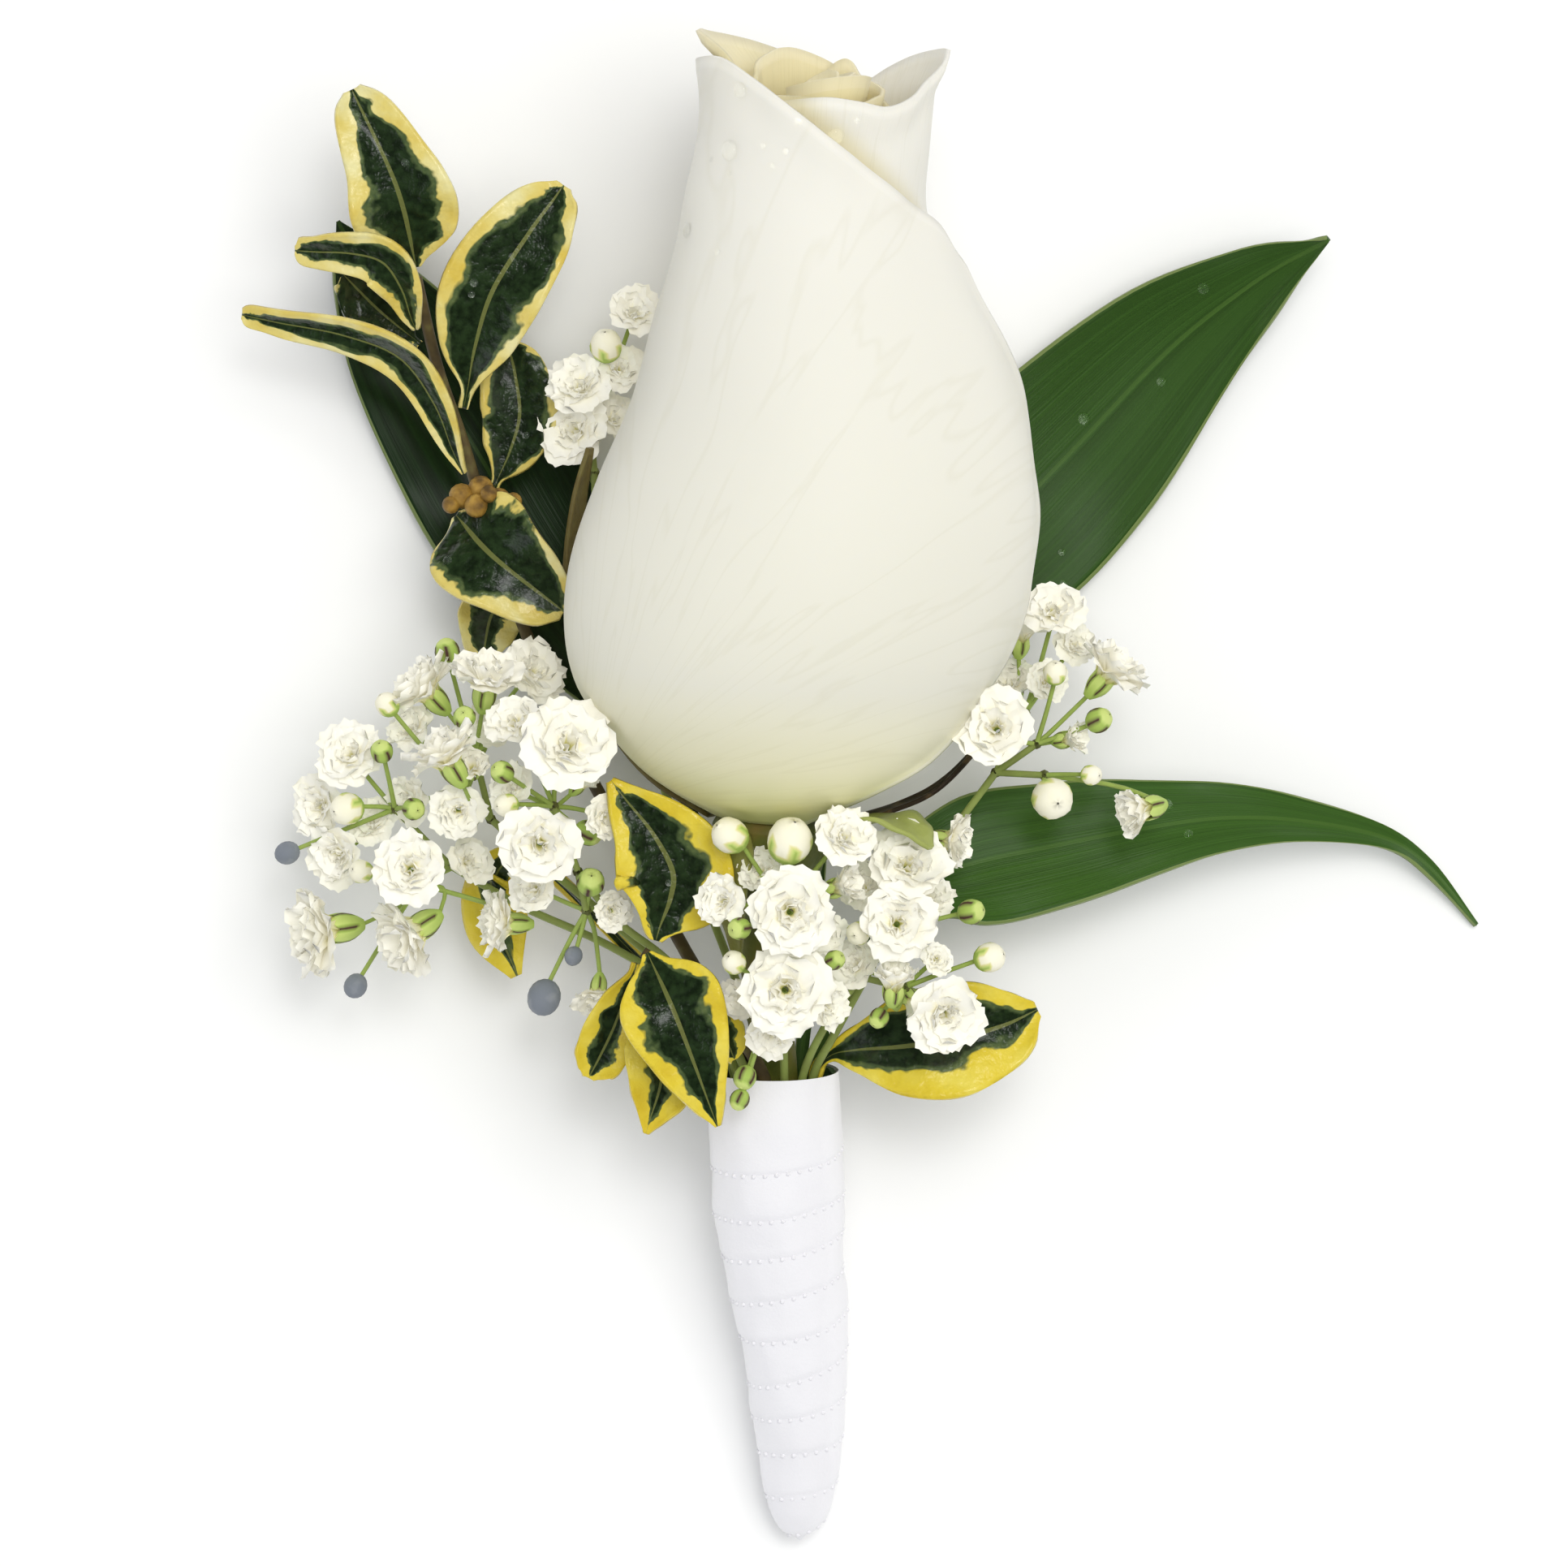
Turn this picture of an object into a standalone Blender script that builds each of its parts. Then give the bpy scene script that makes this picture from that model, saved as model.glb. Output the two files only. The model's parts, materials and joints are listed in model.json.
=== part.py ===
"""A rose bud boutonniere with baby's breath, ruscus and variegated box, lying face up on a table.

+Z is up from the table, +Y runs from the tip of the ribbon handle to the top of the rose, and +X is to
the right as seen from above. Every length and place below is in millimetres, and new_mesh() and
new_tube() turn them into metres.
"""

import bisect
import math

import bmesh
import bpy
from mathutils import Vector

MM = 0.001
WELD_DISTANCE = 0.00001
CENTRING = Vector((-0.6, 1.15, 0.0))

# Handle. Rows: distance below the open top along -Y, x, z and outer radius of the ribbon.
HANDLE_TOP_Y = -21.9
HANDLE = (
    (0.0, -6.5, 12.6, 5.2),
    (4.0, -6.45, 11.6, 5.35),
    (8.4, -6.3, 10.4, 5.3),
    (14.8, -5.9, 8.7, 4.9),
    (21.2, -5.1, 6.9, 4.35),
    (27.7, -4.6, 5.0, 3.8),
    (34.2, -4.6, 3.2, 2.75),
    (36.0, -4.6, 2.7, 1.9),
    (36.8, -4.6, 2.45, 1.1),
)
RIBBON_TIP = 37.2
RIBBON_WALL = 0.5
TAPE_WALL = 0.4
TAPE_TOP = 0.4
TAPE_BOTTOM = 33.0
WRAP_GAP = 0.3
DIRECTION_STEP = 0.5
TAPE_TIP = 34.0
WRAP_RINGS = 12
WRAP_SIDES = 16
# The thin stems lie in a ring round the rose's stem. They are cut off at three depths in turn, and each
# leaves its ring at the last of these shares of its depth.
STEM_SLOTS = 14
THIN_STEM = 0.5
THIN_STEM_GAP = 0.4
SHORTEST_CUT = 11.0
CUT_STEP = 1.3
CUT_LENGTHS = 3
BOUND_SHARES = (1.0, 0.5, 0.05)

# Rose. The bud's axis runs from its base to its top. Rows of BUD: height, radius, sideways bulge.
ROSE_BASE = Vector((-6.8, -2.3, 15.6))
ROSE_TOP = Vector((-3.1, 56.4, 24.6))
BUD = (
    (0.0, 4.6, 0.0),
    (1.6, 7.8, 0.0),
    (3.4, 10.5, 0.0),
    (6.5, 13.3, -0.2),
    (9.6, 15.3, -0.4),
    (13.9, 17.0, 0.2),
    (18.9, 17.5, 0.9),
    (25.1, 16.8, 1.9),
    (31.3, 15.1, 2.4),
    (37.5, 13.3, 1.9),
    (43.0, 11.0, 1.0),
    (47.0, 9.5, 0.0),
    (52.0, 8.9, 0.0),
    (60.0, 9.2, 0.0),
)
# The outline's slope is measured over this height on each side.
SLOPE_STEP = 0.2
PETAL_THICKNESS = 0.4
LAYER_PITCH = 1.0
PETAL_ROWS = 10
PETAL_COLUMNS = 12
# Rows lie closer together towards the base, where a petal curves most.
ROW_CROWDING = 1.2
# Petals, outermost first. Sides: rows of height and the angles of the two side edges about the axis, where
# 0 is the right side, 90 faces up from the table and 180 is the left side. Top: rows of the share of the
# way from the first edge to the last, and the height of the petal's rim there.
PETALS = {
    "rose_petal_front": (
        (
            (0.0, 55.0, 195.0),
            (3.4, 41.0, 200.0),
            (6.0, 20.0, 205.0),
            (11.0, 9.0, 208.0),
            (19.0, 2.0, 210.0),
            (30.0, -2.0, 210.0),
            (43.0, 2.0, 208.0),
            (60.0, 2.0, 205.0),
        ),
        (
            (0.0, 42.5),
            (0.07, 45.6),
            (0.23, 48.7),
            (0.38, 52.0),
            (0.53, 55.2),
            (0.73, 58.4),
            (0.88, 58.6),
            (1.0, 57.0),
        ),
    ),
    "rose_petal_right": (
        ((0.0, -60.0, 70.0), (6.0, -95.0, 105.0), (60.0, -105.0, 115.0)),
        ((0.0, 53.0), (0.2, 56.5), (0.43, 58.9), (0.5, 58.6), (0.64, 56.9), (0.78, 55.5), (1.0, 54.8)),
    ),
    "rose_petal_back": (
        ((0.0, 160.0, 300.0), (6.0, 135.0, 330.0), (60.0, 128.0, 335.0)),
        ((0.0, 54.0), (0.1, 57.0), (0.24, 59.4), (0.47, 58.2), (0.64, 57.0), (0.83, 55.5), (1.0, 53.0)),
    ),
    "rose_petal_inner_1": (
        ((0.0, 20.0, 160.0), (6.0, 0.0, 190.0), (60.0, -10.0, 200.0)),
        ((0.0, 53.0), (0.5, 56.0), (1.0, 54.0)),
    ),
    "rose_petal_inner_2": (
        ((0.0, 160.0, 320.0), (6.0, 145.0, 340.0), (60.0, 140.0, 350.0)),
        ((0.0, 53.0), (0.5, 56.8), (1.0, 54.0)),
    ),
    "rose_petal_inner_3": (
        ((0.0, -80.0, 80.0), (6.0, -95.0, 100.0), (60.0, -105.0, 105.0)),
        ((0.0, 53.0), (0.5, 56.2), (1.0, 54.0)),
    ),
}
HEART_TOP = 55.0
HEART_COLUMNS = 12
# Stem, hip and the cone that the petals sit on. Rows: height on the rose's axis and radius.
ROSE_STEM = 1.7
HIP = (
    (-11.0, 1.8),
    (-8.0, 2.3),
    (-5.5, 3.6),
    (-3.2, 4.3),
    (-1.2, 4.45),
    (-0.2, 4.2),
    (4.6, 1.7),
)
ROSE_STEM_END = 29.0
STEM_SHARES = (1.0, 0.75, 0.5, 0.25, 0.0)
# Sepals: the angle about the axis, then rows of height, distance from the axis and half-width.
SEPALS = {
    "rose_sepal_right": (
        35.0,
        ((-0.6, 5.0, 1.0), (0.6, 7.6, 2.2), (2.6, 11.2, 2.4), (4.6, 14.4, 1.6), (6.2, 16.4, 0.3)),
    ),
    "rose_sepal_dark_tip": (
        -12.0,
        ((-0.6, 5.0, 0.9), (0.4, 8.6, 1.4), (2.2, 12.6, 1.0), (5.4, 15.6, 0.7), (9.0, 17.6, 0.3)),
    ),
    "rose_sepal_left": (
        208.0,
        (
            (-0.6, 5.0, 1.0),
            (1.6, 9.8, 1.7),
            (6.4, 14.9, 1.8),
            (14.0, 18.4, 1.4),
            (22.0, 18.6, 1.0),
            (26.5, 17.8, 0.3),
        ),
    ),
    "rose_sepal_under": (
        262.0,
        ((-0.8, 5.0, 1.0), (-2.4, 6.3, 1.7), (-5.4, 6.7, 1.5), (-8.8, 6.0, 0.9), (-11.4, 5.2, 0.3)),
    ),
    "rose_sepal_front": (
        118.0,
        ((-0.8, 5.0, 0.9), (-2.4, 5.8, 1.7), (-5.4, 5.9, 1.4), (-8.4, 4.9, 0.8), (-10.4, 4.2, 0.3)),
    ),
}

# Leaves. A blade's rows: x, y, z and half-width, from the base to the tip.
LEAF_HALF_THICKNESS = 0.25
# A narrow part of a blade is thicker: its half-thickness is this, less a share of its half-width.
STALK_HALF_THICKNESS = 0.55
STALK_THINNING = 0.1
NARROWEST_BLADE = 0.22
NARROWEST_BOX_LEAF = 0.3
SEPAL_FOLD = 0.1
RUSCUS_FOLD = 0.12
BOX_FOLD = 0.22
# Points round a blade's section: the share of its half-width, and 1 above or -1 below.
SECTION = ((-1.0, 1), (-0.5, 1), (0.0, 1), (0.5, 1), (1.0, 1), (0.5, -1), (0.0, -1), (-0.5, -1))
FEWEST_STATIONS = 8
EXTRA_STATIONS = 5
RUSCUS_LEAVES = {
    "ruscus_leaf_left": (
        11,
        0.0,
        (
            (-7.0, -16.0, 7.0, 0.5),
            (-10.5, -7.0, 3.8, 0.5),
            (-14.5, 0.5, 1.9, 0.5),
            (-17.2, 5.0, 1.4, 1.8),
            (-20.4, 11.3, 1.2, 5.0),
            (-26.0, 19.6, 1.1, 6.6),
            (-30.6, 27.3, 1.1, 6.6),
            (-35.6, 34.9, 1.3, 5.0),
            (-38.8, 40.5, 2.0, 2.6),
            (-40.8, 44.2, 3.0, 0.25),
        ),
    ),
    "ruscus_leaf_upper_right": (
        12,
        0.0,
        (
            (-3.8, -15.0, 7.2, 0.5),
            (-3.2, -7.0, 4.2, 0.5),
            (-2.6, 0.0, 2.0, 0.5),
            (-0.8, 6.0, 1.2, 1.4),
            (4.0, 12.5, 1.0, 5.4),
            (11.0, 20.2, 1.0, 7.9),
            (17.3, 26.8, 1.2, 7.6),
            (24.9, 34.8, 2.2, 4.6),
            (31.3, 39.8, 4.0, 2.0),
            (36.9, 42.6, 6.0, 0.25),
        ),
    ),
    "ruscus_leaf_lower_right": (
        13,
        14.0,
        (
            (-1.2, -17.0, 10.6, 0.5),
            (2.2, -10.6, 9.8, 0.9),
            (5.4, -7.4, 9.2, 3.6),
            (9.2, -6.0, 8.7, 5.2),
            (15.3, -4.7, 8.3, 5.0),
            (21.5, -3.5, 7.8, 4.0),
            (27.9, -2.6, 7.0, 2.9),
            (34.4, -2.8, 5.6, 1.8),
            (41.0, -4.1, 3.4, 0.9),
            (44.8, -6.5, 1.8, 0.6),
            (48.6, -11.0, 0.6, 0.25),
        ),
    ),
}
# Single box leaves that are bound in by their own stalks.
BOX_SINGLES = {
    "box_leaf_right": (
        0,
        0.0,
        (
            (-2.2, -20.8, 13.4, 0.5),
            (-0.2, -20.3, 14.6, 1.8),
            (3.4, -20.0, 15.6, 3.8),
            (7.4, -19.4, 15.8, 4.3),
            (11.0, -18.4, 15.4, 3.2),
            (13.6, -17.2, 14.8, 0.6),
        ),
    ),
    "box_leaf_left": (
        8,
        0.0,
        (
            (-10.5, -19.8, 10.5, 0.5),
            (-15.0, -15.6, 8.8, 0.5),
            (-21.0, -9.6, 7.6, 0.5),
            (-25.8, -5.6, 7.4, 0.6),
            (-28.4, -7.2, 7.6, 2.0),
            (-28.0, -11.2, 7.6, 2.3),
            (-26.6, -14.8, 7.2, 0.4),
        ),
    ),
}
# Relative half-width of a box leaf from its short stalk to its tip.
BOX_OUTLINE = ((0.0, 0.09), (0.1, 0.16), (0.28, 0.72), (0.52, 1.0), (0.78, 0.86), (0.93, 0.5), (1.0, 0.12))
BOX_STEM = 0.55
# Box leaves on the two sprigs: base, middle, tip, half-width and roll about the midrib in degrees.
BOX_UPPER_LEAVES = {
    "box_upper_leaf_top": ((-34.2, 40.0, 12.5), (-35.6, 46.8, 14.8), (-38.8, 53.2, 15.2), 3.9, 0.0),
    "box_upper_leaf_right": ((-30.6, 29.2, 10.5), (-28.4, 37.8, 13.2), (-23.0, 45.7, 13.6), 3.8, 0.0),
    "box_upper_leaf_curled": ((-34.2, 35.6, 12.4), (-37.6, 39.9, 15.4), (-43.0, 41.0, 14.2), 1.9, 35.0),
    "box_upper_leaf_edge_on": ((-30.6, 24.2, 9.9), (-35.9, 33.0, 13.2), (-47.4, 36.3, 12.4), 2.0, 40.0),
    "box_upper_leaf_inner": ((-28.5, 22.8, 7.4), (-26.6, 28.6, 7.6), (-27.3, 34.4, 7.6), 2.7, 0.0),
    "box_upper_leaf_low": ((-29.9, 20.2, 9.3), (-27.4, 17.3, 12.2), (-23.2, 14.2, 12.2), 3.6, 0.0),
    "box_upper_leaf_under": ((-27.5, 15.6, 5.4), (-28.9, 12.8, 4.9), (-29.2, 10.0, 4.6), 2.5, 0.0),
    "box_upper_leaf_behind": ((-34.0, 34.2, 9.6), (-37.2, 36.8, 9.2), (-40.0, 39.6, 8.8), 2.2, 0.0),
}
BOX_UPPER_STEM = (
    (-14.0, -12.0, 7.4),
    (-19.5, -2.0, 5.6),
    (-22.8, 4.3, 5.2),
    (-26.4, 13.1, 6.3),
    (-28.9, 20.6, 8.0),
    (-30.8, 26.9, 9.3),
    (-32.7, 32.6, 10.6),
    (-34.2, 39.2, 12.2),
)
BOX_UPPER_SLOT = 9
# The ball buds that sit where the upper sprig forks: x, y, z and radius.
BOX_BUDS = (
    (-29.3, 22.6, 9.4, 0.8),
    (-30.3, 21.9, 9.6, 0.8),
    (-28.3, 21.8, 9.8, 0.75),
    (-29.4, 21.6, 10.2, 0.7),
)
BOX_LOWER_LEAVES = {
    "box_lower_leaf_up": ((-15.6, -11.6, 19.4), (-14.8, -6.0, 19.9), (-18.7, -0.4, 20.2), 4.3, 0.0),
    "box_lower_leaf_front": ((-16.2, -13.8, 20.2), (-13.9, -18.8, 22.3), (-11.2, -25.4, 20.4), 3.5, 0.0),
    "box_lower_leaf_left": ((-17.1, -13.6, 18.0), (-18.9, -18.6, 16.4), (-20.8, -22.4, 15.4), 2.2, 0.0),
    "box_lower_leaf_tip_down": ((-15.4, -15.4, 17.9), (-14.9, -20.4, 18.2), (-16.2, -26.2, 17.4), 2.6, 0.0),
    "box_lower_leaf_behind": ((-13.0, -16.4, 19.0), (-10.8, -18.4, 18.9), (-9.6, -20.9, 18.5), 1.6, 0.0),
}
BOX_LOWER_STEM = ((-8.8, -19.8, 16.6), (-11.5, -16.8, 17.8), (-14.4, -14.2, 18.6), (-16.6, -12.7, 18.8))
BOX_LOWER_SLOT = 4

# Baby's breath. Each sprig has its slot in the bundle, the trunk's points beyond the handle, and forks.
# A fork is a point and the heads on the twigs from it: x, y, z and radius.
TRUNK = 0.5
TWIG = 0.3
NODE_SWELLING = 0.7
LARGE_HEAD = 1.1
LARGE_BALL_SIDES = 7
SMALL_BALL_SIDES = 5
BALL_RINGS = 4
# Points on a stem's line for each of its own points.
BOX_STEM_DETAIL = 3
TRUNK_DETAIL = 2
SPRIGS = {
    "babys_breath_right": (
        1,
        ((-1.8, -18.8, 15.8), (2.0, -12.0, 15.4), (6.5, -4.5, 13.6), (10.5, 1.0, 12.4)),
        (
            (
                (12.8, 5.6, 11.2),
                (
                    (14.9, 13.5, 13.6, 1.9),
                    (12.5, 11.7, 9.6, 1.5),
                    (11.8, 8.0, 9.4, 1.2),
                    (14.4, 8.0, 13.2, 1.3),
                ),
            ),
            (
                (13.6, 3.2, 14.0),
                (
                    (10.2, 4.4, 20.4, 2.3),
                    (19.2, 8.7, 15.4, 2.0),
                    (16.2, 3.6, 14.6, 1.3),
                    (14.9, 8.6, 17.4, 0.8),
                    (18.3, 5.0, 16.0, 0.9),
                ),
            ),
            (
                (14.2, 0.8, 14.0),
                ((14.7, -1.0, 17.0, 1.4), (21.5, -1.9, 16.2, 1.8), (17.7, 0.8, 16.4, 0.7)),
            ),
        ),
    ),
    "babys_breath_lower_right": (
        2,
        ((-2.8, -18.6, 17.6), (0.0, -14.6, 18.8)),
        (
            (
                (2.2, -11.2, 19.2),
                (
                    (3.6, -5.9, 22.0, 2.4),
                    (2.8, -10.4, 23.2, 2.2),
                    (7.0, -4.2, 17.2, 1.5),
                    (-0.2, -11.2, 22.2, 0.8),
                    (8.4, -9.6, 20.6, 0.9),
                ),
            ),
            (
                (3.4, -15.4, 18.9),
                (
                    (2.5, -14.9, 22.4, 1.6),
                    (5.8, -13.2, 20.8, 1.0),
                    (6.5, -17.5, 21.2, 2.3),
                    (9.8, -13.1, 20.0, 1.0),
                    (1.4, -17.7, 20.0, 0.7),
                ),
            ),
        ),
    ),
    "babys_breath_lower_middle": (
        3,
        ((-5.9, -18.2, 18.4), (-6.2, -14.2, 20.6)),
        (
            (
                (-6.0, -9.6, 21.8),
                (
                    (-10.6, -8.7, 23.8, 1.5),
                    (-5.3, -9.5, 26.0, 2.5),
                    (-1.2, -3.8, 24.6, 1.8),
                    (-1.4, -7.6, 22.6, 1.3),
                    (-9.9, -3.8, 23.0, 1.2),
                    (-5.6, -4.6, 24.0, 1.5),
                    (-9.2, -10.8, 25.0, 0.8),
                ),
            ),
            (
                (-6.6, -15.2, 21.4),
                (
                    (-5.7, -15.4, 25.0, 2.6),
                    (-6.9, -18.9, 21.6, 1.5),
                    (-9.6, -13.4, 23.4, 0.8),
                    (-2.0, -13.2, 24.0, 0.7),
                    (-8.8, -22.2, 20.6, 0.8),
                    (-9.2, -23.9, 20.6, 0.7),
                ),
            ),
        ),
    ),
    "babys_breath_left_front": (
        5,
        ((-10.6, -18.6, 15.4), (-14.6, -13.6, 15.4), (-18.6, -10.4, 15.8), (-21.6, -6.6, 17.0)),
        (
            (
                (-23.4, -1.6, 18.6),
                (
                    (-22.1, 3.2, 23.8, 2.7),
                    (-24.4, -4.5, 23.6, 2.4),
                    (-26.9, 4.0, 20.6, 1.3),
                    (-21.3, 0.2, 17.0, 1.0),
                    (-27.2, 1.0, 22.0, 0.8),
                    (-26.9, -1.5, 21.4, 0.8),
                    (-20.8, -3.6, 17.4, 0.9),
                ),
            ),
            (
                (-21.0, -9.6, 15.2),
                (
                    (-25.0, -7.8, 17.0, 1.0),
                    (-20.6, -7.4, 18.0, 1.0),
                    (-20.2, -16.2, 13.4, 1.4),
                    (-24.3, -16.3, 13.6, 1.3),
                    (-22.0, -13.1, 14.8, 0.7),
                ),
            ),
        ),
    ),
    "babys_breath_left_upper": (
        6,
        ((-12.0, -17.2, 12.9), (-19.0, -10.6, 12.4), (-25.0, -5.6, 12.4), (-28.4, -2.6, 13.4)),
        (
            (
                (-29.6, 2.4, 14.4),
                (
                    (-33.4, 7.4, 14.0, 2.0),
                    (-28.6, 8.0, 17.0, 2.0),
                    (-25.0, 8.9, 11.6, 1.8),
                    (-31.8, 10.3, 12.4, 0.9),
                    (-30.2, 5.2, 19.0, 0.8),
                    (-26.0, 5.6, 15.8, 0.7),
                ),
            ),
            (
                (-30.6, -0.6, 15.6),
                (
                    (-32.2, 2.4, 20.0, 2.0),
                    (-29.6, 1.4, 18.4, 1.3),
                    (-30.8, -2.6, 17.6, 1.0),
                    (-36.3, 6.2, 14.6, 0.8),
                ),
            ),
        ),
    ),
    "babys_breath_left_outer": (
        7,
        ((-12.6, -16.8, 11.4), (-19.0, -12.6, 10.4), (-26.0, -9.4, 10.8), (-31.6, -6.2, 12.0)),
        (
            (
                (-35.8, -1.8, 13.2),
                (
                    (-39.2, 2.4, 15.0, 2.0),
                    (-36.6, 2.6, 17.2, 0.8),
                    (-39.4, -1.8, 14.4, 1.1),
                    (-42.2, -2.1, 11.2, 1.1),
                    (-41.0, -5.4, 12.0, 1.5),
                    (-34.2, -1.8, 16.6, 0.8),
                    (-44.2, -5.2, 11.6, 0.9),
                ),
            ),
            (
                (-34.0, -7.6, 12.6),
                (
                    (-34.4, -6.3, 19.2, 2.1),
                    (-41.4, -11.2, 12.0, 2.5),
                    (-34.6, -11.4, 15.0, 2.3),
                    (-38.3, -6.6, 14.8, 0.8),
                    (-39.0, -15.5, 10.4, 0.9),
                    (-27.4, -10.6, 14.8, 1.6),
                ),
            ),
        ),
    ),
    "babys_breath_upper_left": (
        10,
        (
            (-10.0, -14.0, 7.6),
            (-14.6, -2.0, 5.2),
            (-17.6, 8.0, 4.6),
            (-20.2, 19.0, 5.6),
            (-20.6, 24.4, 7.0),
        ),
        (
            (
                (-20.8, 27.0, 8.0),
                (
                    (-17.6, 36.8, 11.0, 1.4),
                    (-21.8, 31.0, 10.0, 1.6),
                    (-22.4, 27.6, 8.6, 2.0),
                    (-19.0, 28.6, 8.0, 1.4),
                    (-18.6, 31.4, 9.6, 1.1),
                    (-19.6, 34.0, 10.4, 1.1),
                ),
            ),
        ),
    ),
}


def clear_scene():
    for obj in list(bpy.data.objects):
        bpy.data.objects.remove(obj, do_unlink=True)


def follow(rows, key):
    """The values at key on smooth curves through rows, whose first value rises from row to row."""
    keys = [row[0] for row in rows]
    last = len(rows) - 1
    start = min(max(bisect.bisect_right(keys, key) - 1, 0), last - 1)
    width = keys[start + 1] - keys[start]
    part = min(max((key - keys[start]) / width, 0.0), 1.0)

    def slope(row, column):
        low, high = max(row - 1, 0), min(row + 1, last)
        return (rows[high][column] - rows[low][column]) / (keys[high] - keys[low])

    values = []
    for column in range(1, len(rows[0])):
        a, b = rows[start][column], rows[start + 1][column]
        leaving, arriving = slope(start, column) * width, slope(start + 1, column) * width
        bend = part * part * (3.0 - 2.0 * part)
        values.append(
            a
            + (b - a) * bend
            + leaving * part * (1.0 - part) ** 2
            - arriving * part * part * (1.0 - part)
        )
    return values


def smooth_path(points, count):
    """count points, evenly numbered, on a smooth curve through the rows of points."""
    rows = [(index, *point) for index, point in enumerate(points)]
    last = len(points) - 1
    return [follow(rows, last * index / (count - 1)) for index in range(count)]


def ring_point(slot, depth):
    """Where a thin stem lies in the bundle, at a depth below the handle's open top."""
    x, z, ribbon = follow(HANDLE, depth)
    bore = ribbon - RIBBON_WALL - WRAP_GAP - TAPE_WALL
    ring = bore - THIN_STEM - THIN_STEM_GAP
    angle = 2.0 * math.pi * slot / STEM_SLOTS
    right, up = handle_sides(depth)
    centre = Vector((x, HANDLE_TOP_Y - depth, z))
    return centre + right * ring * math.cos(angle) + up * ring * math.sin(angle)


def handle_sides(depth):
    """The two directions across the handle at a depth: to the right, and up from the table."""
    x_above, z_above, _ = follow(HANDLE, depth - DIRECTION_STEP)
    x_below, z_below, _ = follow(HANDLE, depth + DIRECTION_STEP)
    along = Vector((x_above - x_below, 2.0 * DIRECTION_STEP, z_above - z_below)).normalized()
    right = along.cross(Vector((0.0, 0.0, 1.0))).normalized()
    return right, right.cross(along)


def bound_end(slot):
    """The buried part of a thin stem, from its cut end to the handle's open top."""
    cut_depth = SHORTEST_CUT + CUT_STEP * (slot % CUT_LENGTHS)
    return [ring_point(slot, cut_depth * share) for share in BOUND_SHARES]


def material(name, colour, roughness):
    made = bpy.data.materials.new(name)
    made.use_nodes = True
    made.diffuse_color = (*colour, 1.0)
    shader = made.node_tree.nodes["Principled BSDF"]
    shader.inputs["Base Color"].default_value = (*colour, 1.0)
    shader.inputs["Roughness"].default_value = roughness
    shader.inputs["Metallic"].default_value = 0.0
    return made


def collection(name):
    made = bpy.data.collections.new(name)
    bpy.context.scene.collection.children.link(made)
    return made


def new_mesh(name, points, faces, finish, home):
    """A mesh object from points in millimetres."""
    mesh = bpy.data.meshes.new(name)
    mesh.from_pydata([Vector(point) * MM for point in points], [], faces)
    mesh.materials.append(finish)
    obj = bpy.data.objects.new(name, mesh)
    home.objects.link(obj)
    mesh.shade_smooth()
    return obj


def face_outwards(obj):
    shell = bmesh.new()
    shell.from_mesh(obj.data)
    bmesh.ops.recalc_face_normals(shell, faces=shell.faces)
    shell.to_mesh(obj.data)
    shell.free()


def grid_faces(rows, columns, around=False):
    """Quads over a grid of points numbered row by row. around joins the last column to the first."""
    faces = []
    for row in range(rows - 1):
        for column in range(columns if around else columns - 1):
            beside = (column + 1) % columns
            low, high = row * columns, (row + 1) * columns
            faces.append((low + column, high + column, high + beside, low + beside))
    return faces


def thicken(obj, thickness):
    """Gives an open surface a wall on its inner side."""
    solid = obj.modifiers.new("wall", "SOLIDIFY")
    solid.thickness = thickness * MM
    solid.offset = -1.0


def new_tube(name, points, finish, home, roundness=2):
    """A solid tube with capped ends through rows of x, y, z and radius. roundness is the curve's bevel
    resolution."""
    curve = bpy.data.curves.new(name, "CURVE")
    curve.dimensions = "3D"
    curve.bevel_depth = MM
    curve.bevel_resolution = roundness
    curve.use_fill_caps = True
    spline = curve.splines.new("POLY")
    spline.points.add(len(points) - 1)
    for made, (x, y, z, radius) in zip(spline.points, points):
        made.co = (x * MM, y * MM, z * MM, 1.0)
        made.radius = radius
    curve.materials.append(finish)
    obj = bpy.data.objects.new(name, curve)
    home.objects.link(obj)
    return obj


def tube_as_mesh(tube, home):
    """The tube's mesh with its caps welded on, which a Boolean can take. The curve is removed."""
    name = tube.name
    graph = bpy.context.evaluated_depsgraph_get()
    mesh = bpy.data.meshes.new_from_object(tube.evaluated_get(graph))
    shell = bmesh.new()
    shell.from_mesh(mesh)
    bmesh.ops.remove_doubles(shell, verts=shell.verts, dist=WELD_DISTANCE)
    bmesh.ops.recalc_face_normals(shell, faces=shell.faces)
    shell.to_mesh(mesh)
    shell.free()
    bpy.data.objects.remove(tube, do_unlink=True)
    mesh.name = name
    obj = bpy.data.objects.new(name, mesh)
    home.objects.link(obj)
    return obj


def new_ball(name, centre, radius, finish, home):
    mesh = bpy.data.meshes.new(name)
    ball = bmesh.new()
    around = LARGE_BALL_SIDES if radius > LARGE_HEAD else SMALL_BALL_SIDES
    bmesh.ops.create_uvsphere(ball, u_segments=around, v_segments=BALL_RINGS, radius=radius * MM)
    bmesh.ops.translate(ball, verts=ball.verts, vec=Vector(centre) * MM)
    ball.to_mesh(mesh)
    ball.free()
    mesh.materials.append(finish)
    obj = bpy.data.objects.new(name, mesh)
    home.objects.link(obj)
    return obj


def join_all(base, others):
    """Unites the base with the mesh objects of a collection that isn't rendered."""
    union = base.modifiers.new("grown together", "BOOLEAN")
    union.operation = "UNION"
    union.operand_type = "COLLECTION"
    union.collection = others
    union.solver = "EXACT"


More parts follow.
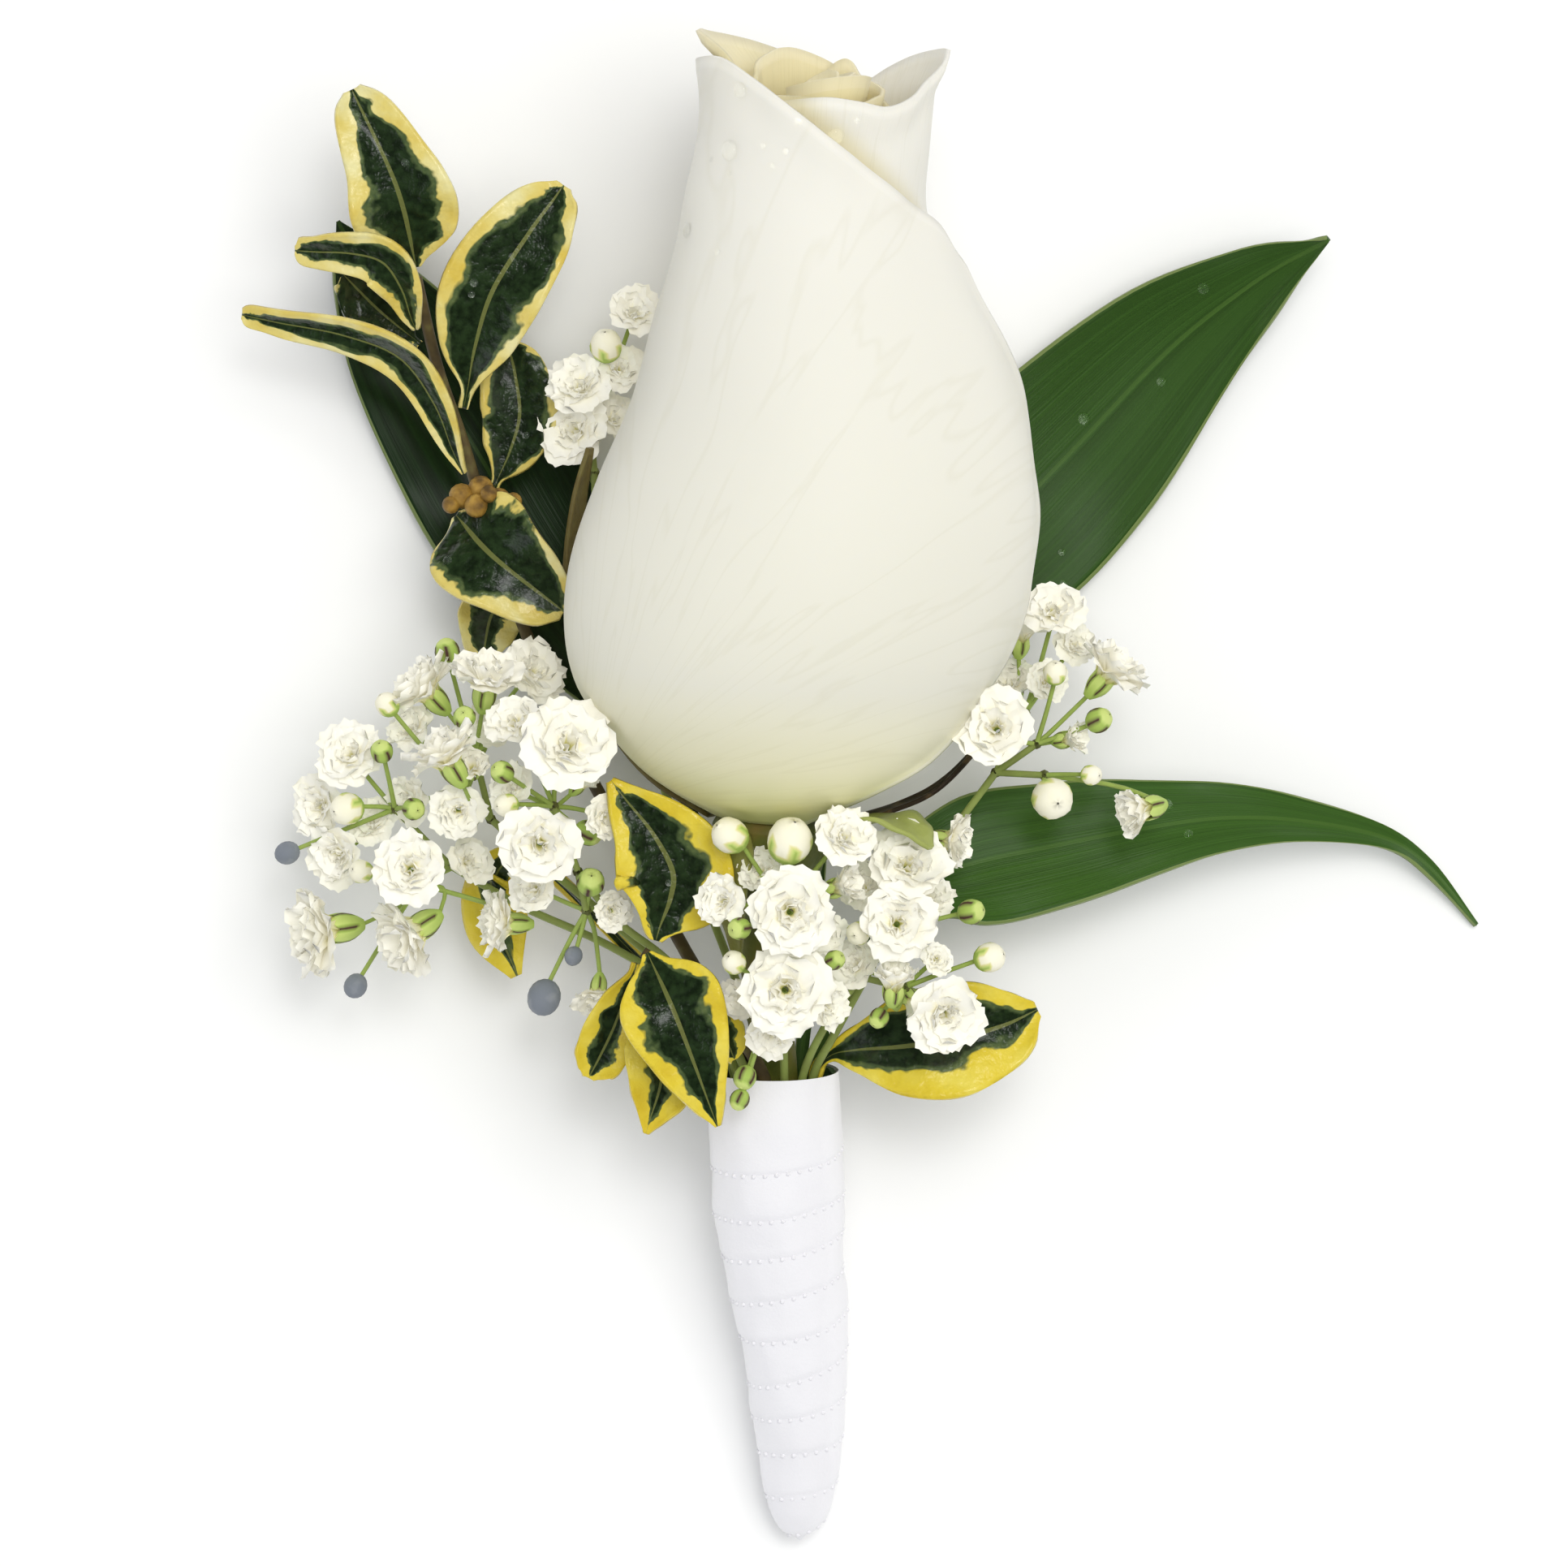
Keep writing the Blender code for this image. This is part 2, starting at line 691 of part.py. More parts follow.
def helper_collection(name, parent):
    made = bpy.data.collections.new(name)
    parent.children.link(made)
    return made


def as_guide(obj):
    obj.hide_render = True
    obj.display_type = "WIRE"


# Rose


def rose_frame():
    """The bud's directions: up its axis, to the right, and towards the side that faces up."""
    up = (ROSE_TOP - ROSE_BASE).normalized()
    right = Vector((1.0, 0.0, 0.0))
    right = (right - up * right.dot(up)).normalized()
    return up, right, right.cross(up)


def bud_point(angle, height, depth):
    """A point on the layer at a depth under the bud's outline. angle is in degrees."""
    up, right, front = rose_frame()
    radius, bulge = follow(BUD, height)
    below, above = max(height - SLOPE_STEP, 0.0), height + SLOPE_STEP
    slope = (follow(BUD, above)[0] - follow(BUD, below)[0]) / (above - below)
    outward = 1.0 / math.hypot(1.0, slope)
    radius -= depth * outward
    height += depth * slope * outward
    turn = math.radians(angle)
    across = right * (radius * math.cos(turn) + bulge) + front * radius * math.sin(turn)
    return ROSE_BASE + up * height + across


def make_petal(name, sides, top, depth, finish, home):
    points = []
    for row in range(PETAL_ROWS):
        for column in range(PETAL_COLUMNS):
            share = column / (PETAL_COLUMNS - 1)
            height = follow(top, share)[0] * (row / (PETAL_ROWS - 1)) ** ROW_CROWDING
            first, last = follow(sides, height)
            points.append(bud_point(first + (last - first) * share, height, depth))
    petal = new_mesh(name, points, grid_faces(PETAL_ROWS, PETAL_COLUMNS), finish, home)
    thicken(petal, PETAL_THICKNESS)
    return petal


def make_heart(depth, finish, home):
    """The tightly furled petals in the middle, as one closed body."""
    points = []
    for row in range(PETAL_ROWS):
        height = HEART_TOP * (row / (PETAL_ROWS - 1)) ** ROW_CROWDING
        for column in range(HEART_COLUMNS):
            points.append(bud_point(360.0 * column / HEART_COLUMNS, height, depth))
    faces = grid_faces(PETAL_ROWS, HEART_COLUMNS, around=True)
    faces.append(tuple(range(HEART_COLUMNS)))
    faces.append(tuple(range((PETAL_ROWS - 1) * HEART_COLUMNS, PETAL_ROWS * HEART_COLUMNS)))
    heart = new_mesh("rose_heart", points, faces, finish, home)
    face_outwards(heart)
    return heart


def make_rose_stem(finish, home):
    """The stem in the bundle, the hip above it and the cone that carries the petals."""
    up = rose_frame()[0]
    rows = []
    for share in STEM_SHARES:
        depth = ROSE_STEM_END * share
        x, z, _ = follow(HANDLE, depth)
        rows.append((x, HANDLE_TOP_Y - depth, z, ROSE_STEM))
    for height, radius in HIP:
        rows.append((*(ROSE_BASE + up * height), radius))
    return new_tube("rose_stem", rows, finish, home)


def make_sepal(name, angle, rows, finish, home):
    """A narrow blade from the hip, through rows of height, distance from the axis and half-width."""
    up, right, front = rose_frame()
    turn = math.radians(angle)
    out = right * math.cos(turn) + front * math.sin(turn)
    side = front * math.cos(turn) - right * math.sin(turn)
    spine = [(*(ROSE_BASE + up * height + out * reach), width) for height, reach, width in rows]
    return make_blade(name, spine, side, SEPAL_FOLD, finish, home)


# Leaves


def make_blade(name, spine, side, fold, finish, home, stations=0):
    """A leaf with a lens-shaped section, along rows of x, y, z and half-width.

    side is the direction across the leaf. fold lifts its two edges, as a share of the half-width.
    """
    stations = stations or max(FEWEST_STATIONS, len(spine) + 1)
    rows = smooth_path(spine, stations)
    points = []
    for index, (x, y, z, width) in enumerate(rows):
        before, after = rows[max(index - 1, 0)], rows[min(index + 1, stations - 1)]
        along = (Vector(after[:3]) - Vector(before[:3])).normalized()
        across = (side - along * side.dot(along)).normalized()
        normal = across.cross(along)
        width = max(width, NARROWEST_BLADE)
        thick = max(LEAF_HALF_THICKNESS, STALK_HALF_THICKNESS - STALK_THINNING * width)
        thick = min(width, thick)
        for share, level in SECTION:
            swell = thick * level * math.sqrt(1.0 - share * share)
            lift = fold * width * abs(share) + swell
            points.append(Vector((x, y, z)) + across * width * share + normal * lift)
    faces = grid_faces(stations, len(SECTION), around=True)
    faces.append(tuple(range(len(SECTION))))
    faces.append(tuple(range(len(points) - len(SECTION), len(points))))
    leaf = new_mesh(name, points, faces, finish, home)
    face_outwards(leaf)
    return leaf


def rolled_side(start, end, roll):
    """The direction across a leaf that runs from start to end, rolled about its length."""
    along = (Vector(end) - Vector(start)).normalized()
    flat = along.cross(Vector((0.0, 0.0, 1.0))).normalized()
    normal = flat.cross(along)
    turn = math.radians(roll)
    return flat * math.cos(turn) + normal * math.sin(turn)


def make_bound_leaf(name, slot, roll, rows, fold, finish, home):
    """A leaf whose stalk runs down into the bundle."""
    stalk = [(*point, THIN_STEM) for point in bound_end(slot)]
    side = rolled_side(rows[0][:3], rows[-1][:3], roll)
    stations = len(rows) + EXTRA_STATIONS
    return make_blade(name, stalk + list(rows), side, fold, finish, home, stations)


def make_box_leaf(name, base, middle, tip, half_width, roll, finish, home):
    spine = []
    path = ((0.0, *base), (0.5, *middle), (1.0, *tip))
    for part, share in BOX_OUTLINE:
        spine.append((*follow(path, part), max(half_width * share, NARROWEST_BOX_LEAF)))
    return make_blade(name, spine, rolled_side(base, tip, roll), BOX_FOLD, finish, home)


def make_box_stem(name, slot, beyond, buds, finish, home, helpers):
    points = [*bound_end(slot), *beyond]
    rows = [(*point, BOX_STEM) for point in smooth_path(points, BOX_STEM_DETAIL * len(points))]
    stem = new_tube(name, rows, finish, home)
    if not buds:
        return stem
    stem = tube_as_mesh(stem, home)
    others = helper_collection(name + "_buds", helpers)
    for index, (x, y, z, radius) in enumerate(buds):
        as_guide(new_ball(f"{name}_bud_{index}", (x, y, z), radius, finish, others))
    join_all(stem, others)
    return stem


# Baby's breath


def twig(name, start, end, finish, helpers):
    rows = [(*start, TWIG), (*end, TWIG)]
    as_guide(tube_as_mesh(new_tube(name, rows, finish, helpers, roundness=0), helpers))


def make_sprig(name, slot, beyond, forks, finish, home, helpers):
    """A branched sprig: its trunk, with the twigs and the heads grown on."""
    points = [*bound_end(slot), *beyond]
    rows = [(*point, TRUNK) for point in smooth_path(points, TRUNK_DETAIL * len(points) - 1)]
    trunk = tube_as_mesh(new_tube(name, rows, finish, home, roundness=1), home)
    others = helper_collection(name + "_twigs", helpers)
    hub = points[-1]
    for number, (fork, heads) in enumerate(forks):
        label = f"{name}_{number}"
        twig(label, hub, fork, finish, others)
        as_guide(new_ball(label + "_node", fork, NODE_SWELLING, finish, others))
        for index, (x, y, z, radius) in enumerate(heads):
            twig(f"{label}_{index}", fork, (x, y, z), finish, others)
            as_guide(new_ball(f"{label}_head_{index}", (x, y, z), radius, finish, others))
    join_all(trunk, others)
    return trunk


# Handle


def make_wrap(name, top, bottom, inset, wall, tip, finish, home):
    """A sleeve along the handle, open at the top. tip is the depth of its closed end."""
    points = []
    for ring in range(WRAP_RINGS):
        depth = top + (bottom - top) * ring / (WRAP_RINGS - 1)
        x, z, radius = follow(HANDLE, depth)
        right, up = handle_sides(depth)
        for side in range(WRAP_SIDES):
            turn = 2.0 * math.pi * side / WRAP_SIDES
            around = right * math.cos(turn) + up * math.sin(turn)
            points.append(Vector((x, HANDLE_TOP_Y - depth, z)) + around * (radius - inset))
    faces = grid_faces(WRAP_RINGS, WRAP_SIDES, around=True)
    x, z, _ = follow(HANDLE, tip)
    points.append(Vector((x, HANDLE_TOP_Y - tip, z)))
    last, end = (WRAP_RINGS - 1) * WRAP_SIDES, len(points) - 1
    for side in range(WRAP_SIDES):
        faces.append((last + side, end, last + (side + 1) % WRAP_SIDES))
    sleeve = new_mesh(name, points, faces, finish, home)
    thicken(sleeve, wall)
    return sleeve


def build():
    clear_scene()
    home = collection("boutonniere")
    helpers = collection("union_pieces")
    helpers.hide_render = True

    cream = material("rose_petal", (0.86, 0.84, 0.74), 0.6)
    bud_green = material("rose_green", (0.13, 0.17, 0.03), 0.6)
    ruscus = material("ruscus_leaf", (0.04, 0.10, 0.02), 0.3)
    box = material("box_leaf", (0.05, 0.08, 0.02), 0.35)
    bark = material("box_stem", (0.08, 0.06, 0.03), 0.6)
    breath = material("babys_breath", (0.80, 0.82, 0.70), 0.7)
    satin = material("satin_ribbon", (0.92, 0.92, 0.94), 0.4)
    tape = material("floral_tape", (0.05, 0.14, 0.04), 0.7)

    for layer, (name, (sides, top)) in enumerate(PETALS.items()):
        make_petal(name, sides, top, LAYER_PITCH * layer, cream, home)
    make_heart(LAYER_PITCH * len(PETALS), cream, home)
    make_rose_stem(bud_green, home)
    for name, (angle, rows) in SEPALS.items():
        make_sepal(name, angle, rows, bud_green, home)

    for name, (slot, roll, rows) in RUSCUS_LEAVES.items():
        make_bound_leaf(name, slot, roll, rows, RUSCUS_FOLD, ruscus, home)
    for name, (slot, roll, rows) in BOX_SINGLES.items():
        make_bound_leaf(name, slot, roll, rows, BOX_FOLD, box, home)
    make_box_stem("box_upper_stem", BOX_UPPER_SLOT, BOX_UPPER_STEM, BOX_BUDS, bark, home, helpers)
    make_box_stem("box_lower_stem", BOX_LOWER_SLOT, BOX_LOWER_STEM, (), bark, home, helpers)
    for name, leaf in {**BOX_UPPER_LEAVES, **BOX_LOWER_LEAVES}.items():
        make_box_leaf(name, *leaf, box, home)
    for name, (slot, beyond, forks) in SPRIGS.items():
        make_sprig(name, slot, beyond, forks, breath, home, helpers)

    make_wrap("ribbon_wrap", 0.0, HANDLE[-1][0], 0.0, RIBBON_WALL, RIBBON_TIP, satin, home)
    inset = RIBBON_WALL + WRAP_GAP
    make_wrap("floral_tape", TAPE_TOP, TAPE_BOTTOM, inset, TAPE_WALL, TAPE_TIP, tape, home)

    root = bpy.data.objects.new("boutonniere", None)
    bpy.context.scene.collection.objects.link(root)
    root.location = CENTRING * MM
    for obj in home.objects:
        obj.parent = root
    for group in helpers.children:
        for obj in group.objects:
            obj.parent = root


build()
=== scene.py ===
"""A wedding boutonniere: a white rose bud with baby's breath, ruscus and variegated box leaves, its
stems bound with tape and wound with satin ribbon. It lies face up on a pale table, +Z up.

Places are in millimetres in the model's own frame, and world() turns them into metres.
"""

import bisect
import json
import math
import random

import bmesh
import bpy
from mathutils import Matrix, Vector, noise
from mathutils.bvhtree import BVHTree

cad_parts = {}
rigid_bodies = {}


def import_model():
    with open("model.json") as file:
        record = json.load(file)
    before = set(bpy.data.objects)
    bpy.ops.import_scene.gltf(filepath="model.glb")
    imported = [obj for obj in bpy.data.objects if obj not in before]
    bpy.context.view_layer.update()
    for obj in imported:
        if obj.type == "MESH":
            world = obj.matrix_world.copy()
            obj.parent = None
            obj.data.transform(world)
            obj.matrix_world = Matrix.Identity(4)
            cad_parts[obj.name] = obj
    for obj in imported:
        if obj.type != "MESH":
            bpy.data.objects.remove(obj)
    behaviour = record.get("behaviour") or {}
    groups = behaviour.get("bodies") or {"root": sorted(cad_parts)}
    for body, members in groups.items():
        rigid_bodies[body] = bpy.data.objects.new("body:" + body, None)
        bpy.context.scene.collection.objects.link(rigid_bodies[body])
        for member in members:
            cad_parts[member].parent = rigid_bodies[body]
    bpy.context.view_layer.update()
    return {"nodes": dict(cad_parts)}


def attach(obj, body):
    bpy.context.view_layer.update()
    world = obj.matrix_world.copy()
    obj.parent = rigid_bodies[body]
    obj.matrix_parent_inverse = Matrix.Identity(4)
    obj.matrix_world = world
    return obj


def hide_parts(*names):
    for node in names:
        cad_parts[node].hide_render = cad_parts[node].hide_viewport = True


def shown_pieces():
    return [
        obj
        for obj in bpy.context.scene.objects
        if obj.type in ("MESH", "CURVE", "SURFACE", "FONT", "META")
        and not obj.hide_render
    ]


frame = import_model()


# ---------------------------------------------------------------- Rose stem and hip
# The stem runs down inside the bound handle. Above the ribbon it swells into the hip, a smooth
# olive green cup with a brownish bloom, and ends in the cone that carries the petals.

MM = 0.001
CENTRING = Vector((-0.6, 1.15, 0.0))
ROSE_BASE = Vector((-6.8, -2.3, 15.6))
ROSE_TOP = Vector((-3.1, 56.4, 24.6))
ROSE_STEM = 1.7
ROSE_STEM_DEPTH = 29.0
HIP = ((-11, 1.8), (-8, 2.3), (-5.5, 3.6), (-3.2, 4.3), (-1.2, 4.45), (-0.2, 4.2), (4.6, 1.7))

# The handle's line. Rows: depth below its open top, x, z and outer radius of the ribbon.
HANDLE_TOP_Y = -21.9
HANDLE = (
    (0, -6.5, 12.6, 5.2), (4, -6.45, 11.6, 5.35), (8.4, -6.3, 10.4, 5.3), (14.8, -5.9, 8.7, 4.9),
    (21.2, -5.1, 6.9, 4.35), (27.7, -4.6, 5, 3.8), (34.2, -4.6, 3.2, 2.75), (36, -4.6, 2.7, 1.9),
    (36.8, -4.6, 2.45, 1.1),
)


def follow(rows, key):
    """The values at key on smooth curves through rows, whose first value rises from row to row."""
    keys = [row[0] for row in rows]
    last = len(rows) - 1
    start = min(max(bisect.bisect_right(keys, key) - 1, 0), last - 1)
    width = keys[start + 1] - keys[start]
    part = min(max((key - keys[start]) / width, 0.0), 1.0)

    def slope(row, column):
        low, high = max(row - 1, 0), min(row + 1, last)
        return (rows[high][column] - rows[low][column]) / (keys[high] - keys[low])

    values = []
    for column in range(1, len(rows[0])):
        a, b = rows[start][column], rows[start + 1][column]
        leaving, arriving = slope(start, column) * width, slope(start + 1, column) * width
        bend = part * part * (3.0 - 2.0 * part)
        ends = leaving * part * (1.0 - part) ** 2 - arriving * part * part * (1.0 - part)
        values.append(a + (b - a) * bend + ends)
    return values


def smooth_path(points, count):
    """count rows on a smooth curve through the rows of points."""
    rows = [(index, *point) for index, point in enumerate(points)]
    last = len(points) - 1
    return [follow(rows, last * index / (count - 1)) for index in range(count)]


def world(point):
    return (Vector(point) + CENTRING) * MM


def mix(low, high, part):
    return low + (high - low) * part


def ramp(low, high, value):
    """0 below low and 1 above high, smooth between. low may be the larger."""
    part = min(max((value - low) / (high - low), 0.0), 1.0)
    return part * part * (3.0 - 2.0 * part)


def handle_sides(depth):
    """The two directions across the handle at a depth: to the right, and up from the table."""
    step = 0.5
    x_above, z_above, _ = follow(HANDLE, depth - step)
    x_below, z_below, _ = follow(HANDLE, depth + step)
    along = Vector((x_above - x_below, 2.0 * step, z_above - z_below)).normalized()
    right = along.cross(Vector((0.0, 0.0, 1.0))).normalized()
    return right, right.cross(along)


def rose_frame():
    """The bud's directions: up its axis, to the right, and towards the side that faces up."""
    up = (ROSE_TOP - ROSE_BASE).normalized()
    right = Vector((1.0, 0.0, 0.0))
    right = (right - up * right.dot(up)).normalized()
    return up, right, right.cross(up)


def new_mesh(name, points, faces, values=None, uv=None):
    """A smooth mesh from points in millimetres. values maps an attribute's name to a number for
    each point, and uv is a pair for each point."""
    mesh = bpy.data.meshes.new(name)
    mesh.from_pydata([world(point) for point in points], [], faces)
    for key, numbers in (values or {}).items():
        mesh.attributes.new(key, "FLOAT", "POINT").data.foreach_set("value", numbers)
    if uv:
        layer = mesh.uv_layers.new(name="UVMap")
        for loop in mesh.loops:
            layer.data[loop.index].uv = uv[loop.vertex_index]
    mesh.shade_smooth()
    return mesh


def new_piece(name, mesh, finish, nodes=()):
    """Shows a mesh as a piece of the boutonniere, in place of the CAD nodes."""
    mesh.name = name
    mesh.materials.clear()
    mesh.materials.append(finish)
    piece = bpy.data.objects.new(name, mesh)
    bpy.context.scene.collection.objects.link(piece)
    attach(piece, "root")
    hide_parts(*nodes)
    return piece


def grid_faces(rows, columns, around=False):
    """Quads over a grid of points numbered row by row. around joins its last and first columns."""
    faces = []
    for row in range(rows - 1):
        for column in range(columns if around else columns - 1):
            beside = (column + 1) % columns
            low, high = row * columns, (row + 1) * columns
            faces.append((low + column, high + column, high + beside, low + beside))
    return faces


def tube(rows, sides=12):
    """The points and faces of a capped tube through rows of x, y, z and radius."""
    points = []
    reference = Vector((0.0, 0.0, 1.0))
    for index, (x, y, z, radius) in enumerate(rows):
        before, after = rows[max(index - 1, 0)], rows[min(index + 1, len(rows) - 1)]
        along = (Vector(after[:3]) - Vector(before[:3])).normalized()
        right = along.cross(reference)
        if right.length < 0.05:
            right = along.cross(Vector((1.0, 0.0, 0.0)))
        right.normalize()
        reference = right.cross(along)
        for side in range(sides):
            turn = 2.0 * math.pi * side / sides
            out = right * math.cos(turn) - reference * math.sin(turn)
            points.append(Vector((x, y, z)) + out * radius)
    faces = grid_faces(len(rows), sides, around=True)
    faces.append(tuple(reversed(range(sides))))
    faces.append(tuple(range(len(points) - sides, len(points))))
    return points, faces


def face_outwards(mesh):
    shell = bmesh.new()
    shell.from_mesh(mesh)
    bmesh.ops.recalc_face_normals(shell, faces=shell.faces)
    shell.to_mesh(mesh)
    shell.free()


def colour(code):
    """A linear colour from an sRGB hex code."""
    parts = [int(code[place : place + 2], 16) / 255.0 for place in (1, 3, 5)]
    line = [part / 12.92 if part <= 0.04045 else ((part + 0.055) / 1.055) ** 2.4 for part in parts]
    return (*line, 1.0)


def add(tree, kind, inputs=None, **settings):
    """Adds a node. inputs maps a socket's name or number to a value or to another node's socket."""
    node = tree.nodes.new(kind)
    for key, value in settings.items():
        setattr(node, key, value)
    for key, value in (inputs or {}).items():
        if isinstance(value, bpy.types.NodeSocket):
            tree.links.new(value, node.inputs[key])
        else:
            node.inputs[key].default_value = value
    return node


def new_material(name, **values):
    """A material, its node tree and its shader, with values set on the shader's sockets."""
    made = bpy.data.materials.new(name)
    made.use_nodes = True
    shader = made.node_tree.nodes["Principled BSDF"]
    for key, value in values.items():
        shader.inputs[key.replace("_", " ")].default_value = value
    return made, made.node_tree, shader


def steps(tree, factor, stops):
    """A colour ramp over factor. stops are pairs of place and hex code."""
    node = add(tree, "ShaderNodeValToRGB", {"Fac": factor})
    points = node.color_ramp.elements
    while len(points) < len(stops):
        points.new(1.0)
    for point, (place, code) in zip(points, stops):
        point.position = place
        point.color = colour(code)
    return node.outputs["Color"]


def attribute(tree, name):
    return add(tree, "ShaderNodeAttribute", attribute_name=name).outputs["Fac"]


def blend_colours(tree, factor, first, second, kind="MIX"):
    sockets = {0: factor, 6: first, 7: second}
    return add(tree, "ShaderNodeMix", sockets, data_type="RGBA", blend_type=kind).outputs[2]


def bump(tree, shader, height, strength, distance):
    """Roughens the shader's normal. distance is in metres."""
    sockets = {"Height": height, "Strength": strength, "Distance": distance}
    raised = add(tree, "ShaderNodeBump", sockets).outputs["Normal"]
    tree.links.new(raised, shader.inputs["Normal"])


def place_noise(tree, scale, detail=3.0):
    """Noise over the object's own coordinates. scale is in cells a metre."""
    where = add(tree, "ShaderNodeTexCoord").outputs["Object"]
    sockets = {"Vector": where, "Scale": scale, "Detail": detail}
    return add(tree, "ShaderNodeTexNoise", sockets).outputs["Fac"]


# Waxy rose bark: olive green, browner in patches, with a fine grain.
rose_green, tree, shader = new_material("rose_bark", Roughness=0.5)
patches = place_noise(tree, 260.0)
bark_tone = steps(tree, patches, ((0.3, "#4f5a1f"), (0.5, "#6b6f2c"), (0.7, "#7d6b33")))
tree.links.new(bark_tone, shader.inputs["Base Color"])
bump(tree, shader, place_noise(tree, 1600.0), 0.25, 0.0003)

rose_up = rose_frame()[0]
stem_line = []
for part in (1.0, 0.75, 0.5, 0.25, 0.0):
    depth = ROSE_STEM_DEPTH * part
    x, z, _ = follow(HANDLE, depth)
    stem_line.append((x, HANDLE_TOP_Y - depth, z, ROSE_STEM))
for height, radius in HIP:
    stem_line.append((*(ROSE_BASE + rose_up * height), radius))
points, faces = tube(smooth_path(stem_line, 60), sides=32)
stem_mesh = new_mesh("rose_stem", points, faces)
face_outwards(stem_mesh)
new_piece("rose_stem_and_hip", stem_mesh, rose_green, ["rose_stem"])


# ---------------------------------------------------------------- Rose petals
# Six creamy white petals lie one over another round a furled heart, each growing from the cone on
# the hip. They are thin, waxy and a little translucent, veined from the base and greenish where
# they join.

# Bud outline. Rows: height on the axis, radius, sideways bulge.
BUD = (
    (0, 4.6, 0), (1.6, 7.8, 0), (3.4, 10.5, 0), (6.5, 13.3, -0.2), (9.6, 15.3, -0.4),
    (13.9, 17, 0.2), (18.9, 17.5, 0.9), (25.1, 16.8, 1.9), (31.3, 15.1, 2.4), (37.5, 13.3, 1.9),
    (43, 11, 1), (47, 9.7, 0.2), (52, 9.3, 0.5), (60, 9.6, 0.5),
)
PETAL_WALL = 0.35
LAYER_PITCH = 1.0
PETAL_ROWS = 84
PETAL_COLUMNS = 96
ROW_CROWDING = 1.2
# Sides: rows of height and the angles of the two side edges, where 0 is right, 90 faces up and 180
# is left. Top: rows of the share of the way across and the rim's height. Flare: how far the rim
# rolls out.
PETALS = {
    "rose_petal_front": (
        (
            (0, 55, 195), (3.4, 41, 200), (6, 20, 205), (11, 9, 208), (19, 2, 210), (30, -2, 210),
            (43, 2, 208), (60, 2, 205),
        ),
        (
            (0, 42.5), (0.07, 45.6), (0.23, 48.7), (0.38, 52), (0.5, 54.7), (0.6, 56.6),
            (0.7, 57.9), (0.8, 57.7), (0.88, 57), (1, 54.5),
        ),
        0.35,
    ),
    "rose_petal_right": (
        ((0, -60, 70), (6, -95, 105), (60, -105, 115)),
        (
            (0, 53.5), (0.1, 54.6), (0.16, 55.8), (0.22, 57.2), (0.28, 58.2), (0.36, 58.9),
            (0.48, 59.2), (0.54, 58.5), (0.61, 57.1), (0.68, 55.8), (0.74, 55.1), (0.81, 55.4),
            (0.89, 55.6), (1, 55),
        ),
        0.8,
    ),
    "rose_petal_back": (
        ((0, 160, 300), (6, 135, 330), (48, 135, 335), (60, 152, 335)),
        (
            (0, 56.2), (0.06, 58.2), (0.12, 59.2), (0.18, 59.5), (0.3, 59.2), (0.44, 58.6),
            (0.56, 57.7), (0.65, 56.9), (0.75, 55.8), (1, 53.5),
        ),
        2.6,
    ),
    "rose_petal_inner_1": (
        ((0, 20, 160), (6, 0, 190), (60, -10, 200)), ((0, 53), (0.5, 55.3), (1, 54)), 0.3,
    ),
    "rose_petal_inner_2": (
        ((0, 160, 320), (6, 145, 340), (60, 140, 350)),
        ((0, 53), (0.3, 57), (0.45, 58.2), (0.6, 57.6), (0.75, 56), (1, 54)), 0.3,
    ),
    "rose_petal_inner_3": (
        ((0, -80, 80), (6, -95, 100), (60, -105, 105)),
        ((0, 55), (0.1, 57), (0.17, 57.6), (0.26, 56.4), (0.5, 55.6), (1, 54)), 0.3,
    ),
}
FLARE_REACH = 3.2
SIDE_FADE = 5.0
RIM_RIPPLE = 0.35
# How far the painted shade, a creamy tone on a covered petal, reaches beyond the front petal's rim.
SHADE_REACH = 2.6
# Where the front petal's veins fan out from, and how many millimetres of texture one radian takes.
FAN_ORIGIN = (-21.5, -2)
FAN_SCALE = 15.0


def bud_point(angle, height, depth):
    """A point on the layer at a depth under the bud's outline. angle is in degrees."""
    up, right, front = rose_frame()
    radius, bulge = follow(BUD, height)
    below, above = max(height - 0.2, 0.0), height + 0.2
    slope = (follow(BUD, above)[0] - follow(BUD, below)[0]) / (above - below)
    outward = 1.0 / math.hypot(1.0, slope)
    radius -= depth * outward
    height += depth * slope * outward
    turn = math.radians(angle)
    across = right * (radius * math.cos(turn) + bulge) + front * radius * math.sin(turn)
    return ROSE_BASE + up * height + across


def solid_mesh(mesh, wall):
    """The mesh with a wall given to its inner side."""
    holder = bpy.data.objects.new("holder", mesh)
    bpy.context.scene.collection.objects.link(holder)
    shell = holder.modifiers.new("wall", "SOLIDIFY")
    shell.thickness = wall * MM
    shell.offset = -1.0
    graph = bpy.context.evaluated_depsgraph_get()
    made = bpy.data.meshes.new_from_object(holder.evaluated_get(graph))
    bpy.data.objects.remove(holder, do_unlink=True)
    return made


def front_shade(angle, height):
    """How strongly painted shade tones a covered petal beside the front petal's rim, from 0 to 1.
    """
    sides, top, _ = PETALS["rose_petal_front"]
    first, last = follow(sides, height)
    share = (angle - first) / (last - first)
    rim = follow(top, min(max(share, 0.0), 1.0))[0]
    near = 1.0 - ramp(0.0, SHADE_REACH, abs(height - rim))
    return near * ramp(0.0, 0.05, share) * ramp(1.0, 0.95, share)


